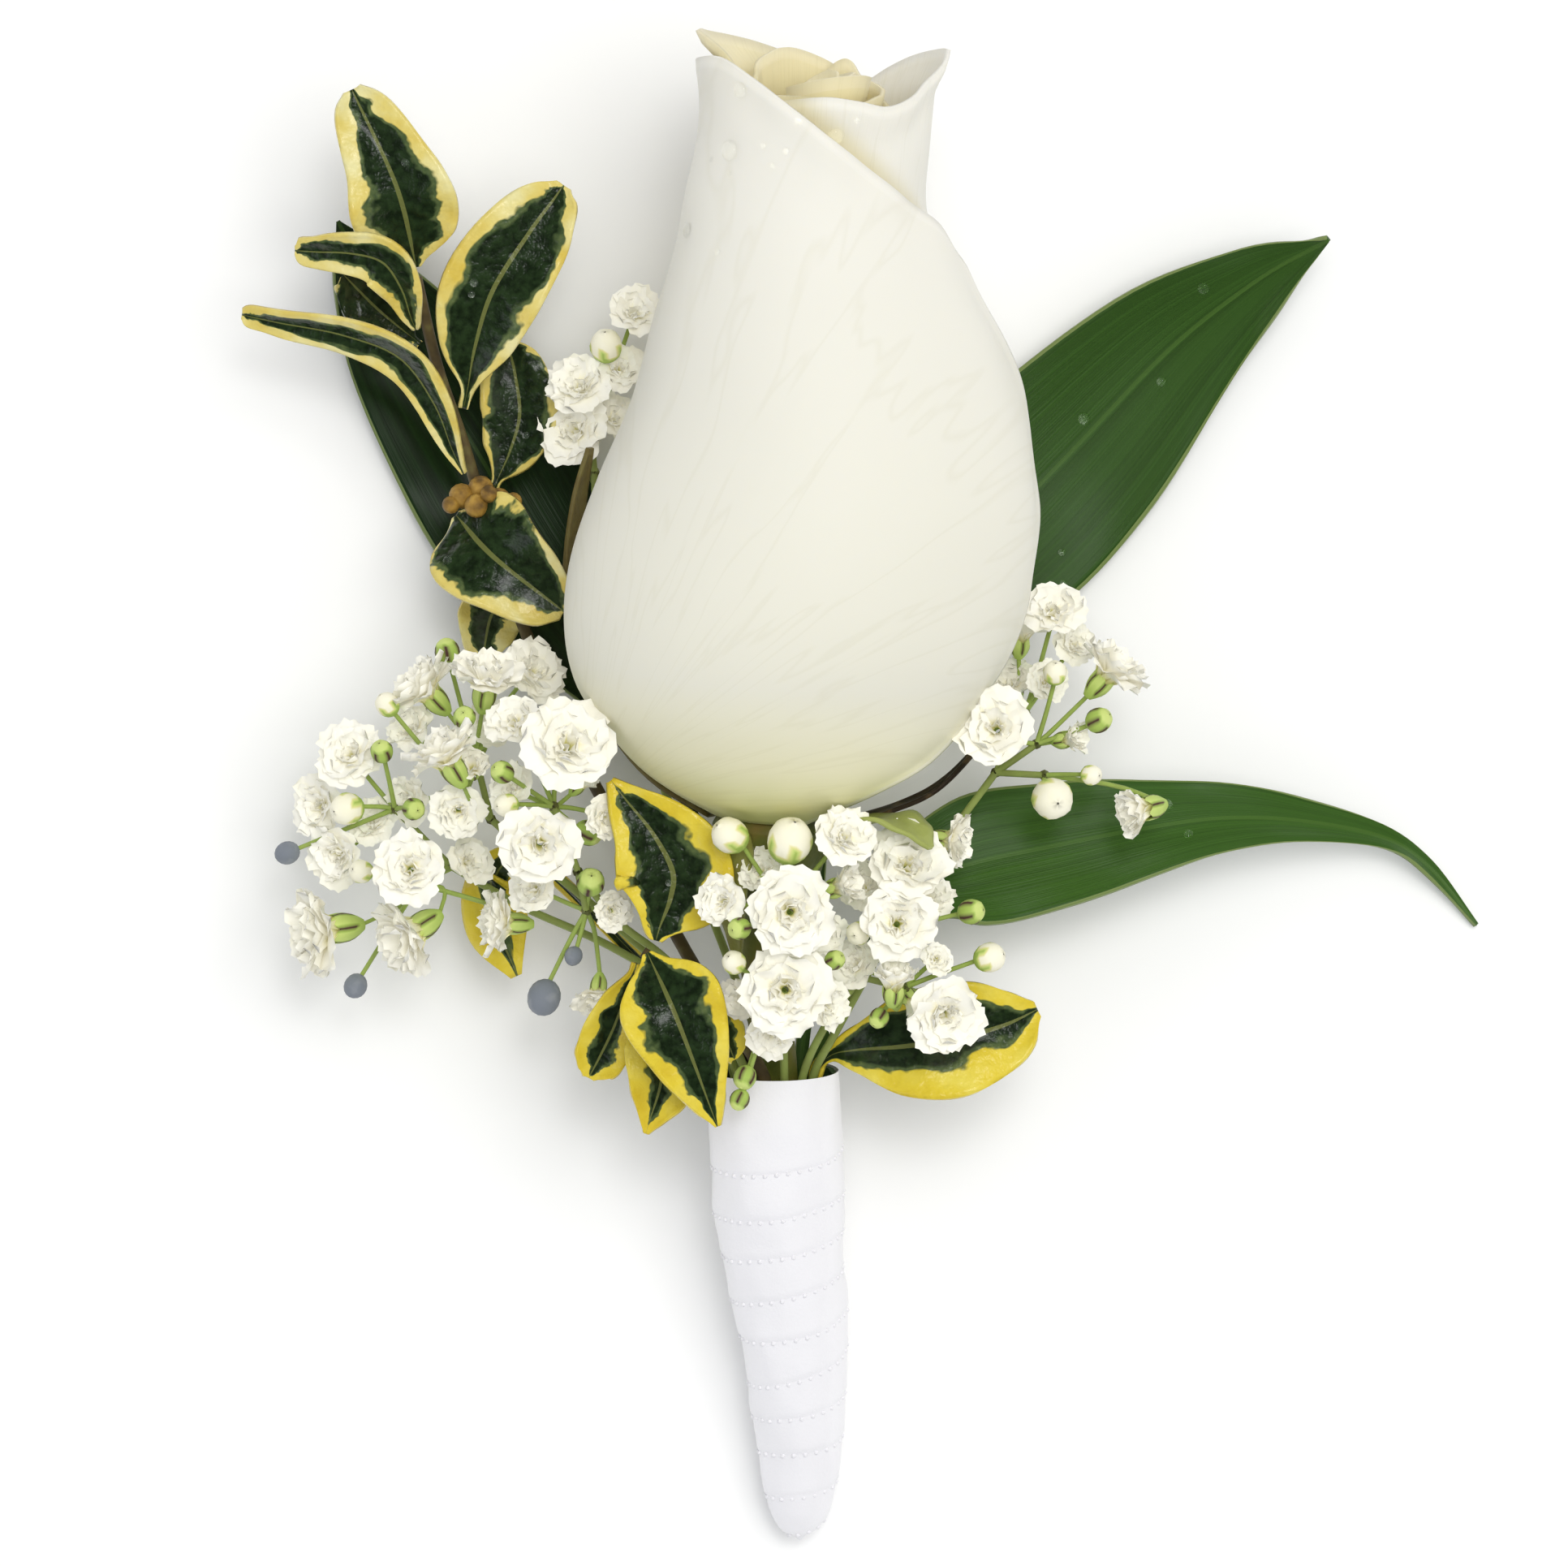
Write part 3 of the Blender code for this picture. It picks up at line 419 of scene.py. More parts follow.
def petal_mesh(name, sides, top, flare, layer):
    """A petal on its layer of the bud, with a softly rolled, rippled rim."""
    points, uv = [], []
    heights, rims, shades = [], [], []
    for row in range(PETAL_ROWS):
        for column in range(PETAL_COLUMNS):
            share = column / (PETAL_COLUMNS - 1)
            rim = follow(top, share)[0]
            height = rim * (row / (PETAL_ROWS - 1)) ** ROW_CROWDING
            first, last = follow(sides, height)
            angle = first + (last - first) * share
            radius = follow(BUD, height)[0]
            width = math.radians(last - first) * radius
            beside = min(share, 1.0 - share) * width
            edge = min(beside, rim - height)
            roll = flare * (1.0 - ramp(0.0, FLARE_REACH, rim - height)) * ramp(30.0, 50.0, height)
            roll *= ramp(0.0, SIDE_FADE, beside)
            side_roll = 0.3 * (1.0 - ramp(0.0, 2.0, beside)) * ramp(1.0, 6.0, height)
            ripple = noise.noise(Vector((angle * 0.05, height * 0.16, 7.0 * layer)))
            ripple *= RIM_RIPPLE * (1.0 - ramp(0.0, 6.0, edge)) * ramp(4.0, 12.0, height)
            swell = 0.22 * noise.noise(Vector((angle * 0.018, height * 0.05, 3.0 + layer)))
            depth = LAYER_PITCH * layer - max(roll, side_roll) - ripple
            depth -= swell * ramp(6.0, 14.0, height)
            point = bud_point(angle, height, depth)
            points.append(point)
            if layer == 0:
                reach = Vector((point.x - FAN_ORIGIN[0], point.y - FAN_ORIGIN[1]))
                uv.append((math.atan2(reach.y, reach.x) * FAN_SCALE, reach.length))
            else:
                uv.append((math.radians(angle) * FAN_SCALE, height))
            heights.append(height)
            rims.append(edge)
            shades.append(front_shade(angle, height) if layer else 0.0)
    faces = grid_faces(PETAL_ROWS, PETAL_COLUMNS)
    mesh = new_mesh(name, points, faces, {"height": heights, "edge": rims, "shade": shades}, uv)
    return solid_mesh(mesh, PETAL_WALL)


def maths(tree, operation, *values):
    """The result of a Math node. values are numbers or sockets."""
    return add(tree, "ShaderNodeMath", dict(enumerate(values)), operation=operation).outputs[0]


def drawn_noise(tree, where, scale, detail=2.0, **values):
    """Noise over texture places, drawn out by a scale for each direction."""
    drawn = add(tree, "ShaderNodeMapping", {"Vector": where, "Scale": scale}).outputs[0]
    sockets = {"Vector": drawn, "Scale": 1.0, "Detail": detail, **values}
    return add(tree, "ShaderNodeTexNoise", sockets).outputs["Fac"]


def petal_material(name, stops, tint):
    """Cream petal. stops colour it by height in millimetres over 60, tint colours its rim, and the
    shade attribute lays painted shade beside the front petal's rim.
    """
    made, tree, shader = new_material(
        name,
        Roughness=0.55,
        Subsurface_Weight=0.12,
        Subsurface_Radius=(1.0, 0.8, 0.5),
        Subsurface_Scale=0.0015,
        Sheen_Weight=0.1,
    )
    body = steps(tree, maths(tree, "DIVIDE", attribute(tree, "height"), 60.0), stops)
    rim = maths(tree, "LESS_THAN", attribute(tree, "edge"), 0.9)
    body = blend_colours(tree, maths(tree, "MULTIPLY", rim, 0.35), body, colour(tint))
    # Painted shade: covered petals are toned creamy next to the front petal's rim, where its edge
    # shades them.
    painted_rim_shade = maths(tree, "MULTIPLY", attribute(tree, "shade"), 0.75)
    body = blend_colours(tree, painted_rim_shade, body, colour("#d6cb9f"))
    flat = add(tree, "ShaderNodeUVMap", uv_map="UVMap").outputs["UV"]
    veins = drawn_noise(tree, flat, (0.8, 0.05, 1.0), Distortion=0.25)
    # Only where the noise crosses its middle value is there a vein, so they are thin and far apart.
    lines = steps(tree, veins, ((0.47, "#ffffff"), (0.5, "#eceade"), (0.53, "#ffffff")))
    body = blend_colours(tree, 0.22, body, lines, "MULTIPLY")
    tree.links.new(body, shader.inputs["Base Color"])
    bump(tree, shader, veins, 0.08, 0.0006)
    return made


outer_cream = petal_material(
    "rose_petal_outer",
    ((0.0, "#c3c578"), (0.03, "#dedb9c"), (0.09, "#e8e3be"), (0.2, "#e5e2d2"), (0.8, "#ebe8dd")),
    "#efece3",
)
inner_cream = petal_material(
    "rose_petal_inner",
    ((0.0, "#c9c98a"), (0.2, "#ddd6a8"), (0.6, "#ddd2a2"), (0.9, "#e2d6a6"), (1.0, "#e9dfbc")),
    "#ece2c4",
)
for layer, (name, (sides, top, flare)) in enumerate(PETALS.items()):
    finish = outer_cream if layer < 2 else inner_cream
    mesh = petal_mesh(name, sides, top, flare, layer)
    new_piece(name + "_shown", mesh, finish, [name])


# ---------------------------------------------------------------- Rose heart
# The youngest petals are still furled into a tight scroll in the middle of the bud, and only their
# edges show at its mouth. It is one long strip rolled two and a half times.

HEART_TURNS = 2.6
HEART_ROWS = 30
HEART_COLUMNS = 150
HEART_TOP = 56.0
HEART_WALL = 0.25

points, uv = [], []
heights, edges = [], []
for row in range(HEART_ROWS):
    for column in range(HEART_COLUMNS):
        share = column / (HEART_COLUMNS - 1)
        turn = 360.0 * HEART_TURNS * share
        rim = HEART_TOP + 0.7 * math.sin(math.radians(turn * 1.15)) - 1.6 * ramp(0.8, 1.0, share)
        height = mix(8.0, rim, row / (HEART_ROWS - 1))
        outer = LAYER_PITCH * len(PETALS)
        free = max(follow(BUD, height)[0] - outer, 0.6)
        roll = 0.25 * (1.0 - ramp(0.0, 2.0, rim - height))
        points.append(bud_point(turn - 40.0, height, outer + free * 0.93 * share - roll))
        uv.append((math.radians(turn) * 4.0, height))
        heights.append(height)
        edges.append(rim - height)
faces = grid_faces(HEART_ROWS, HEART_COLUMNS)
values = {"height": heights, "edge": edges, "shade": [0.0] * len(points)}
mesh = solid_mesh(new_mesh("rose_heart", points, faces, values, uv), HEART_WALL)
new_piece("rose_heart_scroll", mesh, inner_cream, ["rose_heart"])


# ---------------------------------------------------------------- Sepals
# Five narrow green blades grow from the hip's rim under the bud. Two stand against its sides, one
# is a withered dark tip at the right, and two are bent back down over the hip.

# Angle about the axis, tone (0 fresh, 1 withered), then rows of height, reach and half-width.
SEPALS = {
    "rose_sepal_right": (
        35, -0.1, (-0.6, 5, 1.2), (0.5, 8, 2.6), (1.1, 10.8, 3), (0.6, 13.2, 2), (-0.4, 14.8, 0.3),
    ),
    "rose_sepal_dark_tip": (
        -12, 0.85, (-0.6, 5, 0.9), (0.4, 8.6, 1.2), (2.2, 12.6, 0.7), (5.4, 15.6, 0.4),
        (8, 17, 0.15),
    ),
    "rose_sepal_left": (
        208, 0.55, (-0.6, 5, 1), (1.6, 9.8, 1.7), (6.4, 14.9, 1.8), (14, 18.4, 1.4), (22, 18.6, 1),
        (26.5, 17.8, 0.3),
    ),
    "rose_sepal_under": (
        262, 0.2, (-0.8, 5, 1), (-2.4, 6.3, 1.7), (-5.4, 6.7, 1.5), (-8.8, 6, 0.9),
        (-11.4, 5.2, 0.3),
    ),
    "rose_sepal_front": (
        118, 0.3, (-0.8, 5, 0.9), (-2.4, 5.8, 1.7), (-5.4, 5.9, 1.4), (-8.4, 4.9, 0.8),
        (-10.4, 4.2, 0.3),
    ),
}


BLADE_WALL = 0.35
SEPAL_GRID = (30, 9)


def blade(spine, side, fold, stations, columns, tone, ripple, seed):
    """A leaf's mesh along rows of x, y, z and half-width. side points across it, fold lifts its
    edges as a share of the half-width, and ripple is its edges' waviness."""
    rows = smooth_path(spine, stations)
    points, uv = [], []
    across_values, along_values, width_values = [], [], []
    for index, (x, y, z, width) in enumerate(rows):
        before, after = rows[max(index - 1, 0)], rows[min(index + 1, stations - 1)]
        along = (Vector(after[:3]) - Vector(before[:3])).normalized()
        across = (side - along * side.dot(along)).normalized()
        normal = across.cross(along)
        width = max(width, 0.1)
        for column in range(columns):
            share = 2.0 * column / (columns - 1) - 1.0
            spot = Vector((index * 0.16, share * 1.2, seed * 5.1))
            wave = noise.noise(spot) * ripple * abs(share)
            lift = fold * width * abs(share) ** 1.4 + wave * min(width, 2.0)
            raised = normal * (lift + BLADE_WALL / 2.0)
            points.append(Vector((x, y, z)) + across * width * share + raised)
            uv.append((width * share, index / (stations - 1)))
            across_values.append(share)
            along_values.append(index / (stations - 1))
            width_values.append(width)
    values = {
        "across": across_values,
        "along": along_values,
        "width": width_values,
        "tone": [tone] * len(points),
        "seed": [float(seed)] * len(points),
    }
    faces = [tuple(reversed(face)) for face in grid_faces(stations, columns)]
    return solid_mesh(new_mesh("blade", points, faces, values, uv), BLADE_WALL)


# Fresh green at the base, tan and papery where it has withered, and nearly black at the dark tip.
sepal_green, tree, shader = new_material("sepal", Roughness=0.45)
tone = attribute(tree, "tone")
grain = place_noise(tree, 700.0)
shifted = maths(tree, "MULTIPLY_ADD", grain, 0.35, tone)
sepal_tone = steps(
    tree,
    shifted,
    ((0.15, "#9fa85a"), (0.4, "#8c8f47"), (0.7, "#74683a"), (0.95, "#5d4a2a"), (1.15, "#2c2014")),
)
tree.links.new(sepal_tone, shader.inputs["Base Color"])
bump(tree, shader, grain, 0.4, 0.0004)

up, right, front = rose_frame()
for seed, (name, (angle, tone, *rows)) in enumerate(SEPALS.items()):
    turn = math.radians(angle)
    out = right * math.cos(turn) + front * math.sin(turn)
    side = front * math.cos(turn) - right * math.sin(turn)
    spine = [(*(ROSE_BASE + up * height + out * reach), width) for height, reach, width in rows]
    mesh = blade(spine, side, 0.12, *SEPAL_GRID, tone=tone, ripple=0.25, seed=seed)
    new_piece(name + "_shown", mesh, sepal_green, [name])


# ---------------------------------------------------------------- Ruscus leaves
# Three leathery Italian ruscus leaves back the rose, each bound in by its own stalk. They are deep
# green and glossy, with fine parallel veins along their length and a thin pale edge.

THIN_STEM = 0.5
THIN_STEM_GAP = 0.4
RIBBON_WALL = 0.5
WRAP_GAP = 0.3
TAPE_WALL = 0.4
STEM_SLOTS = 14
CUT_DEPTH = 11.0
CUT_STEP = 1.3
RUSCUS_GRID = (90, 25)
# Slot in the bundle, roll in degrees, tone (0 light, 1 dark), then rows of x, y, z, half-width.
RUSCUS_LEAVES = {
    "ruscus_leaf_left": (
        11, 0, 0.95, (-7, -16, 7, 0.5), (-10.5, -7, 3.8, 0.5), (-14.5, 0.5, 1.9, 0.5),
        (-17.2, 5, 1.4, 1.8), (-20.4, 11.3, 1.2, 5), (-26, 19.6, 1.1, 6.6), (-30.6, 27.3, 1.1, 6.6),
        (-35.6, 34.9, 1.3, 5), (-38.8, 40.5, 2, 2.6), (-40.8, 44.2, 3, 0.15),
    ),
    "ruscus_leaf_upper_right": (
        12, 0, 0.42, (-3.8, -15, 7.2, 0.5), (-3.2, -7, 4.2, 0.5), (-2.6, 0, 2, 0.5),
        (-0.8, 6, 1.2, 1.4), (4, 12.5, 1, 5.4), (11, 20.2, 1, 7.9), (17.3, 26.8, 1.2, 7.6),
        (24.6, 34.4, 2.2, 5.6), (31, 39.4, 4, 3), (35.2, 41.8, 5.4, 0.9), (36.6, 42.5, 6.6, 0.15),
    ),
    "ruscus_leaf_lower_right": (
        13, 14, 0.2, (-1.2, -17, 10.6, 0.5), (2.2, -10.6, 9.8, 0.9), (5.4, -7.4, 9.2, 3.6),
        (9.2, -6, 8.7, 5.2), (15.3, -4.7, 8.3, 5), (21.5, -3.5, 7.8, 4), (27.9, -2.6, 7, 2.9),
        (34.4, -2.8, 5.6, 1.8), (41, -4.1, 3.4, 0.9), (44.8, -6.5, 1.8, 0.6),
        (48.6, -11, 0.6, 0.15),
    ),
}


def ring_point(slot, depth):
    """Where a thin stem lies in the bundle, at a depth below the handle's open top."""
    x, z, ribbon = follow(HANDLE, depth)
    bore = ribbon - RIBBON_WALL - WRAP_GAP - TAPE_WALL
    ring = bore - THIN_STEM - THIN_STEM_GAP
    angle = 2.0 * math.pi * slot / STEM_SLOTS
    right, up = handle_sides(depth)
    centre = Vector((x, HANDLE_TOP_Y - depth, z))
    return centre + right * ring * math.cos(angle) + up * ring * math.sin(angle)


def bound_end(slot):
    """The buried part of a thin stem, from its cut end to the handle's open top."""
    cut_depth = CUT_DEPTH + CUT_STEP * (slot % 3)
    return [ring_point(slot, cut_depth * part) for part in (1.0, 0.5, 0.05)]


def rolled_side(start, end, roll):
    """The direction across a leaf that runs from start to end, rolled about its length."""
    along = (Vector(end) - Vector(start)).normalized()
    flat = along.cross(Vector((0.0, 0.0, 1.0))).normalized()
    turn = math.radians(roll)
    return flat * math.cos(turn) + flat.cross(along) * math.sin(turn)


# Leathery green. Two scales of lengthwise streaks make its veins, and its edge is pale.
ruscus_green, tree, shader = new_material(
    "ruscus_leather", Roughness=0.38, Specular_IOR_Level=0.4, Coat_Weight=0.1, Coat_Roughness=0.25
)
across = attribute(tree, "across")
width = attribute(tree, "width")
out_mm = maths(tree, "MULTIPLY", across, width)
leaf_place = {"X": across, "Y": attribute(tree, "along"), "Z": attribute(tree, "seed")}
flat = add(tree, "ShaderNodeCombineXYZ", leaf_place).outputs[0]
broad_veins = drawn_noise(tree, flat, (14.0, 0.9, 3.0))
fine_veins = drawn_noise(tree, flat, (42.0, 1.6, 3.0))
streaks = blend_colours(
    tree,
    0.5,
    steps(tree, broad_veins, ((0.3, "#35581a"), (0.7, "#436b22"))),
    steps(tree, fine_veins, ((0.3, "#335618"), (0.7, "#487226"))),
)
dark_streaks = steps(tree, broad_veins, ((0.3, "#0c1e08"), (0.7, "#15300e")))
leaf_tone = blend_colours(tree, attribute(tree, "tone"), streaks, dark_streaks)
rib = maths(tree, "LESS_THAN", maths(tree, "ABSOLUTE", out_mm), 0.16)
leaf_tone = blend_colours(tree, maths(tree, "MULTIPLY", rib, 0.25), leaf_tone, colour("#5c7f33"))
border = maths(tree, "GREATER_THAN", maths(tree, "ABSOLUTE", across), 0.965)
leaf_tone = blend_colours(tree, maths(tree, "MULTIPLY", border, 0.7), leaf_tone, colour("#8a9a5c"))
tree.links.new(leaf_tone, shader.inputs["Base Color"])
bump(tree, shader, fine_veins, 0.2, 0.0003)

for seed, (name, (slot, roll, tone, *rows)) in enumerate(RUSCUS_LEAVES.items()):
    stalk = [(*point, THIN_STEM) for point in bound_end(slot)]
    side = rolled_side(rows[0][:3], rows[-1][:3], roll)
    spine = [*stalk, *rows]
    mesh = blade(spine, side, 0.12, *RUSCUS_GRID, tone=tone, ripple=0.35, seed=seed + 11)
    new_piece(name + "_shown", mesh, ruscus_green, [name])


# ---------------------------------------------------------------- Box stems
# Two sprigs of variegated box share the bundle. Their stems are thin and purplish brown, and where
# the upper one forks it carries a cluster of ochre ball buds.

BOX_STEM = 0.55
STEM_ROWS = 70
BOX_STEMS = {
    "box_upper_stem": (
        9, (-14, -12, 7.4), (-19.5, -2, 5.6), (-22.8, 4.3, 5.2), (-26.4, 13.1, 6.3),
        (-28.9, 20.6, 8), (-30.8, 26.9, 9.3), (-32.7, 32.6, 10.6), (-34.2, 39.2, 12.2),
    ),
    "box_lower_stem": (
        4, (-8.8, -19.8, 16.6), (-11.5, -16.8, 17.8), (-14.4, -14.2, 18.6), (-16.6, -12.7, 18.8),
    ),
}
# Ball buds at the fork of the upper sprig: x, y, z and radius.
BOX_BUDS = (
    (-29.3, 23, 10.2, 1), (-30.8, 22.4, 10.2, 1), (-27.9, 22.1, 10.4, 0.95),
    (-29.6, 21.6, 11.2, 0.95), (-28.6, 22.5, 11.7, 0.7), (-31.6, 21.7, 10.6, 0.7),
    (-26.8, 22, 10.2, 0.7),
)


def new_ball_mesh(balls):
    """One mesh of balls, each x, y, z and radius."""
    shell = bmesh.new()
    for x, y, z, radius in balls:
        size = {"u_segments": 14, "v_segments": 9, "radius": radius * MM}
        made = bmesh.ops.create_uvsphere(shell, **size)
        bmesh.ops.translate(shell, verts=made["verts"], vec=world((x, y, z)))
    mesh = bpy.data.meshes.new("balls")
    shell.to_mesh(mesh)
    shell.free()
    mesh.shade_smooth()
    return mesh


def grained_material(name, roughness, cells, detail, stops, strength):
    """A material coloured by fine noise, which also roughens it."""
    made, tree, shader = new_material(name, Roughness=roughness)
    grain = place_noise(tree, cells, detail)
    tree.links.new(steps(tree, grain, stops), shader.inputs["Base Color"])
    bump(tree, shader, grain, strength, 0.0003)
    return made


# Purplish brown bark, and ochre bud scales.
bark_stops = ((0.3, "#3b3020"), (0.55, "#5a4d2e"), (0.75, "#74703e"))
box_bark = grained_material("box_bark", 0.6, 500.0, 3.0, bark_stops, 0.5)
bud_stops = ((0.3, "#5c4522"), (0.5, "#8f6d2c"), (0.7, "#b28d3e"))
box_bud = grained_material("box_bud_scale", 0.55, 900.0, 3.0, bud_stops, 0.5)

for name, (slot, *beyond) in BOX_STEMS.items():
    rows = enumerate(smooth_path([*bound_end(slot), *beyond], STEM_ROWS))
    line = [(*point, BOX_STEM * mix(1.0, 0.8, index / (STEM_ROWS - 1))) for index, point in rows]
    mesh = new_mesh(name, *tube(line))
    face_outwards(mesh)
    new_piece(name + "_shown", mesh, box_bark, [name])
new_piece("box_ball_buds", new_ball_mesh(BOX_BUDS), box_bud)


# ---------------------------------------------------------------- Box leaves
# Small glossy leaves, blunt or pointed. Each has a dark green middle with ragged lobes and a broad
# yellow to cream border that differs from leaf to leaf.

BOX_FOLD = 0.22
SPRIG_LEAF_GRID, SINGLE_LEAF_GRID = (44, 21), (70, 21)
# Outlines from base to tip, as shares of the length and of the half-width.
OVAL = ((0, 0.09), (0.1, 0.16), (0.28, 0.72), (0.52, 1), (0.78, 0.88), (0.93, 0.55), (1, 0.16))
EGG = (
    (0, 0.09), (0.06, 0.3), (0.14, 0.66), (0.24, 0.9), (0.36, 1), (0.5, 0.95), (0.64, 0.8),
    (0.8, 0.66), (0.93, 0.44), (1, 0.14),
)
STRAP = (
    (0, 0.09), (0.1, 0.4), (0.28, 0.84), (0.5, 1), (0.7, 0.86), (0.88, 0.66), (0.97, 0.5), (1, 0.2),
)
LANCE = ((0, 0.09), (0.1, 0.34), (0.3, 0.9), (0.48, 1), (0.7, 0.74), (0.88, 0.34), (1, 0.05))
# Outline, base, middle, tip, half-width, roll in degrees, and how much of it is yellow (0 to 1).
BOX_LEAVES = {
    "box_upper_leaf_top": (
        EGG, (-34.2, 40, 12.5), (-35.6, 46, 14.8), (-39, 53.4, 15.2), 4.1, 0, 0.42,
    ),
    "box_upper_leaf_right": (
        OVAL, (-30.6, 29.2, 10.5), (-28.4, 37.8, 13.2), (-22.8, 46.2, 13.6), 3.9, 0, 0.32,
    ),
    "box_upper_leaf_curled": (
        STRAP, (-34.2, 35.2, 12.4), (-36.6, 40.2, 15.4), (-43.4, 41.2, 14.2), 2, 30, 0.5,
    ),
    "box_upper_leaf_edge_on": (
        STRAP, (-30.6, 24.2, 9.9), (-35.4, 33, 13.2), (-47.6, 36.4, 12.4), 1.8, 35, 0.5,
    ),
    "box_upper_leaf_inner": (
        OVAL, (-28.5, 22.8, 7.4), (-26.4, 28.6, 7.6), (-27.3, 34.6, 7.6), 2.9, 0, 0.12,
    ),
    "box_upper_leaf_low": (
        EGG, (-31.2, 20.9, 9.3), (-28.2, 17.6, 12.2), (-22.8, 13.4, 12), 4.4, 0, 0.25,
    ),
    "box_upper_leaf_under": (
        LANCE, (-27.5, 15.6, 5.4), (-28.9, 12.6, 4.9), (-29.4, 8.8, 4.6), 2.4, 0, 0.6,
    ),
    "box_upper_leaf_behind": (
        OVAL, (-34, 34.2, 9.6), (-37.2, 36.8, 9.2), (-40, 39.6, 8.8), 2.2, 0, -0.3,
    ),
    "box_lower_leaf_up": (
        LANCE, (-15.6, -11.8, 19.4), (-14.4, -6.2, 19.9), (-19, 0.4, 20.2), 4.5, 0, 0.42,
    ),
    "box_lower_leaf_front": (
        LANCE, (-16.2, -12.8, 20.2), (-13.9, -17.8, 22.3), (-10.9, -25.9, 20.4), 3.9, 0, 0.42,
    ),
    "box_lower_leaf_left": (
        OVAL, (-17.1, -13.6, 18), (-18.9, -18.6, 16.4), (-20.8, -22.4, 15.4), 2.2, 0, 0.75,
    ),
    "box_lower_leaf_tip_down": (
        LANCE, (-15.4, -15.4, 17.9), (-14.9, -21, 18.2), (-16.4, -26.6, 17.4), 3.1, 0, 0.7,
    ),
    "box_lower_leaf_behind": (
        OVAL, (-13, -16.4, 19), (-10.8, -18.4, 18.9), (-9.6, -20.9, 18.5), 1.6, 0, 0.5,
    ),
}
# Two single leaves bound in by their own stalks: slot, yellow share, rows of x, y, z, half-width.
BOX_SINGLES = {
    "box_leaf_right": (
        0, 0.4, (-2.2, -20.8, 13.4, 0.5), (-0.2, -20.3, 14.6, 1.8), (3.4, -20, 15.6, 3.8),
        (7.4, -19.4, 15.8, 4.3), (11, -18.4, 15.4, 3.2), (13.6, -17.2, 14.8, 0.6),
    ),
    "box_leaf_left": (
        8, 0.45, (-10.5, -19.8, 10.5, 0.5), (-15, -15.6, 8.8, 0.5), (-21, -9.6, 7.6, 0.5),
        (-25.8, -5.6, 7.4, 0.6), (-28.4, -7.2, 7.6, 2), (-28, -11.2, 7.6, 2.3),
        (-26.6, -14.8, 7.2, 0.4),
    ),
}

# Variegated box leaf: a dark middle, a narrow grey green band round it, and the yellow border.
box_leaf, tree, shader = new_material(
    "variegated_box_leaf",
    Roughness=0.28,
    Specular_IOR_Level=0.5,
    Coat_Weight=0.3,
    Coat_Roughness=0.12,
)
across = attribute(tree, "across")
along = attribute(tree, "along")
yellow_share = attribute(tree, "tone")
out_share = maths(tree, "ABSOLUTE", across)
seed = attribute(tree, "seed")
# The lobes run out along the side veins, so the noise that makes them is drawn out across the leaf.
flat = add(tree, "ShaderNodeCombineXYZ", {"X": across, "Y": along, "Z": seed}).outputs[0]
lobes = drawn_noise(tree, flat, (1.1, 6.5, 3.7), 3.0)
shifted = maths(tree, "ADD", lobes, -0.5)
ragged = maths(tree, "MULTIPLY_ADD", shifted, 1.25, out_share)
from_middle = maths(tree, "ABSOLUTE", maths(tree, "SUBTRACT", along, 0.44))
far_end = maths(tree, "POWER", from_middle, 3.0)
ragged = maths(tree, "MULTIPLY_ADD", far_end, 3.2, ragged)
limit = maths(tree, "MULTIPLY_ADD", yellow_share, -0.75, 0.98)
beyond = maths(tree, "SUBTRACT", ragged, limit)
yellow_edge = steps(tree, beyond, ((0.0, "#000000"), (0.05, "#ffffff")))
inner_edge = maths(tree, "ADD", beyond, 0.14)
grey_edge = steps(tree, inner_edge, ((0.0, "#000000"), (0.08, "#ffffff")))
speckle = place_noise(tree, 1500.0, 2.0)
dark_green = steps(tree, speckle, ((0.35, "#14210f"), (0.65, "#25371c")))
grey_green = steps(tree, speckle, ((0.35, "#3f5130"), (0.65, "#5c6a3e")))
patches = place_noise(tree, 300.0)
creamy = steps(tree, patches, ((0.3, "#d3b94e"), (0.5, "#dccb74"), (0.7, "#e4dca0")))
bright = steps(tree, patches, ((0.3, "#d3b82a"), (0.5, "#dfc838"), (0.7, "#e6d458")))
# The lower sprig and the single leaves, whose seeds come after the upper sprig's, are brighter.
golden = blend_colours(tree, maths(tree, "GREATER_THAN", seed, 27.5), creamy, bright)
leaf_tone = blend_colours(tree, grey_edge, dark_green, grey_green)
leaf_tone = blend_colours(tree, yellow_edge, leaf_tone, golden)
rib = maths(tree, "LESS_THAN", out_share, 0.045)
leaf_tone = blend_colours(tree, maths(tree, "MULTIPLY", rib, 0.5), leaf_tone, colour("#8b8f4c"))
tree.links.new(leaf_tone, shader.inputs["Base Color"])
bump(tree, shader, blend_colours(tree, 0.5, speckle, patches), 0.6, 0.0005)

for seed, (name, leaf) in enumerate(BOX_LEAVES.items()):
    outline, base, middle, tip, half_width, roll, yellow = leaf
    path = ((0.0, *base), (0.5, *middle), (1.0, *tip))
    rows = [(*follow(path, part), half_width * share) for part, share in outline]
    side = rolled_side(base, tip, roll)
    mesh = blade(rows, side, BOX_FOLD, *SPRIG_LEAF_GRID, tone=yellow, ripple=0.3, seed=seed + 20)
    new_piece(name + "_shown", mesh, box_leaf, [name])
for seed, (name, (slot, yellow, *rows)) in enumerate(BOX_SINGLES.items()):
    stalk = [(*point, THIN_STEM) for point in bound_end(slot)]
    side = rolled_side(rows[0][:3], rows[-1][:3], 0.0)
    spine = [*stalk, *rows]
    mesh = blade(spine, side, BOX_FOLD, *SINGLE_LEAF_GRID, tone=yellow, ripple=0.3, seed=seed + 40)
    new_piece(name + "_shown", mesh, box_leaf, [name])


# ---------------------------------------------------------------- Baby's breath
# Seven branched sprigs of double gypsophila. Each flower is a tuft of small notched white petals
# round a cream green middle, in a lime calyx with dark streaks, and green white ball buds stand
# among them.

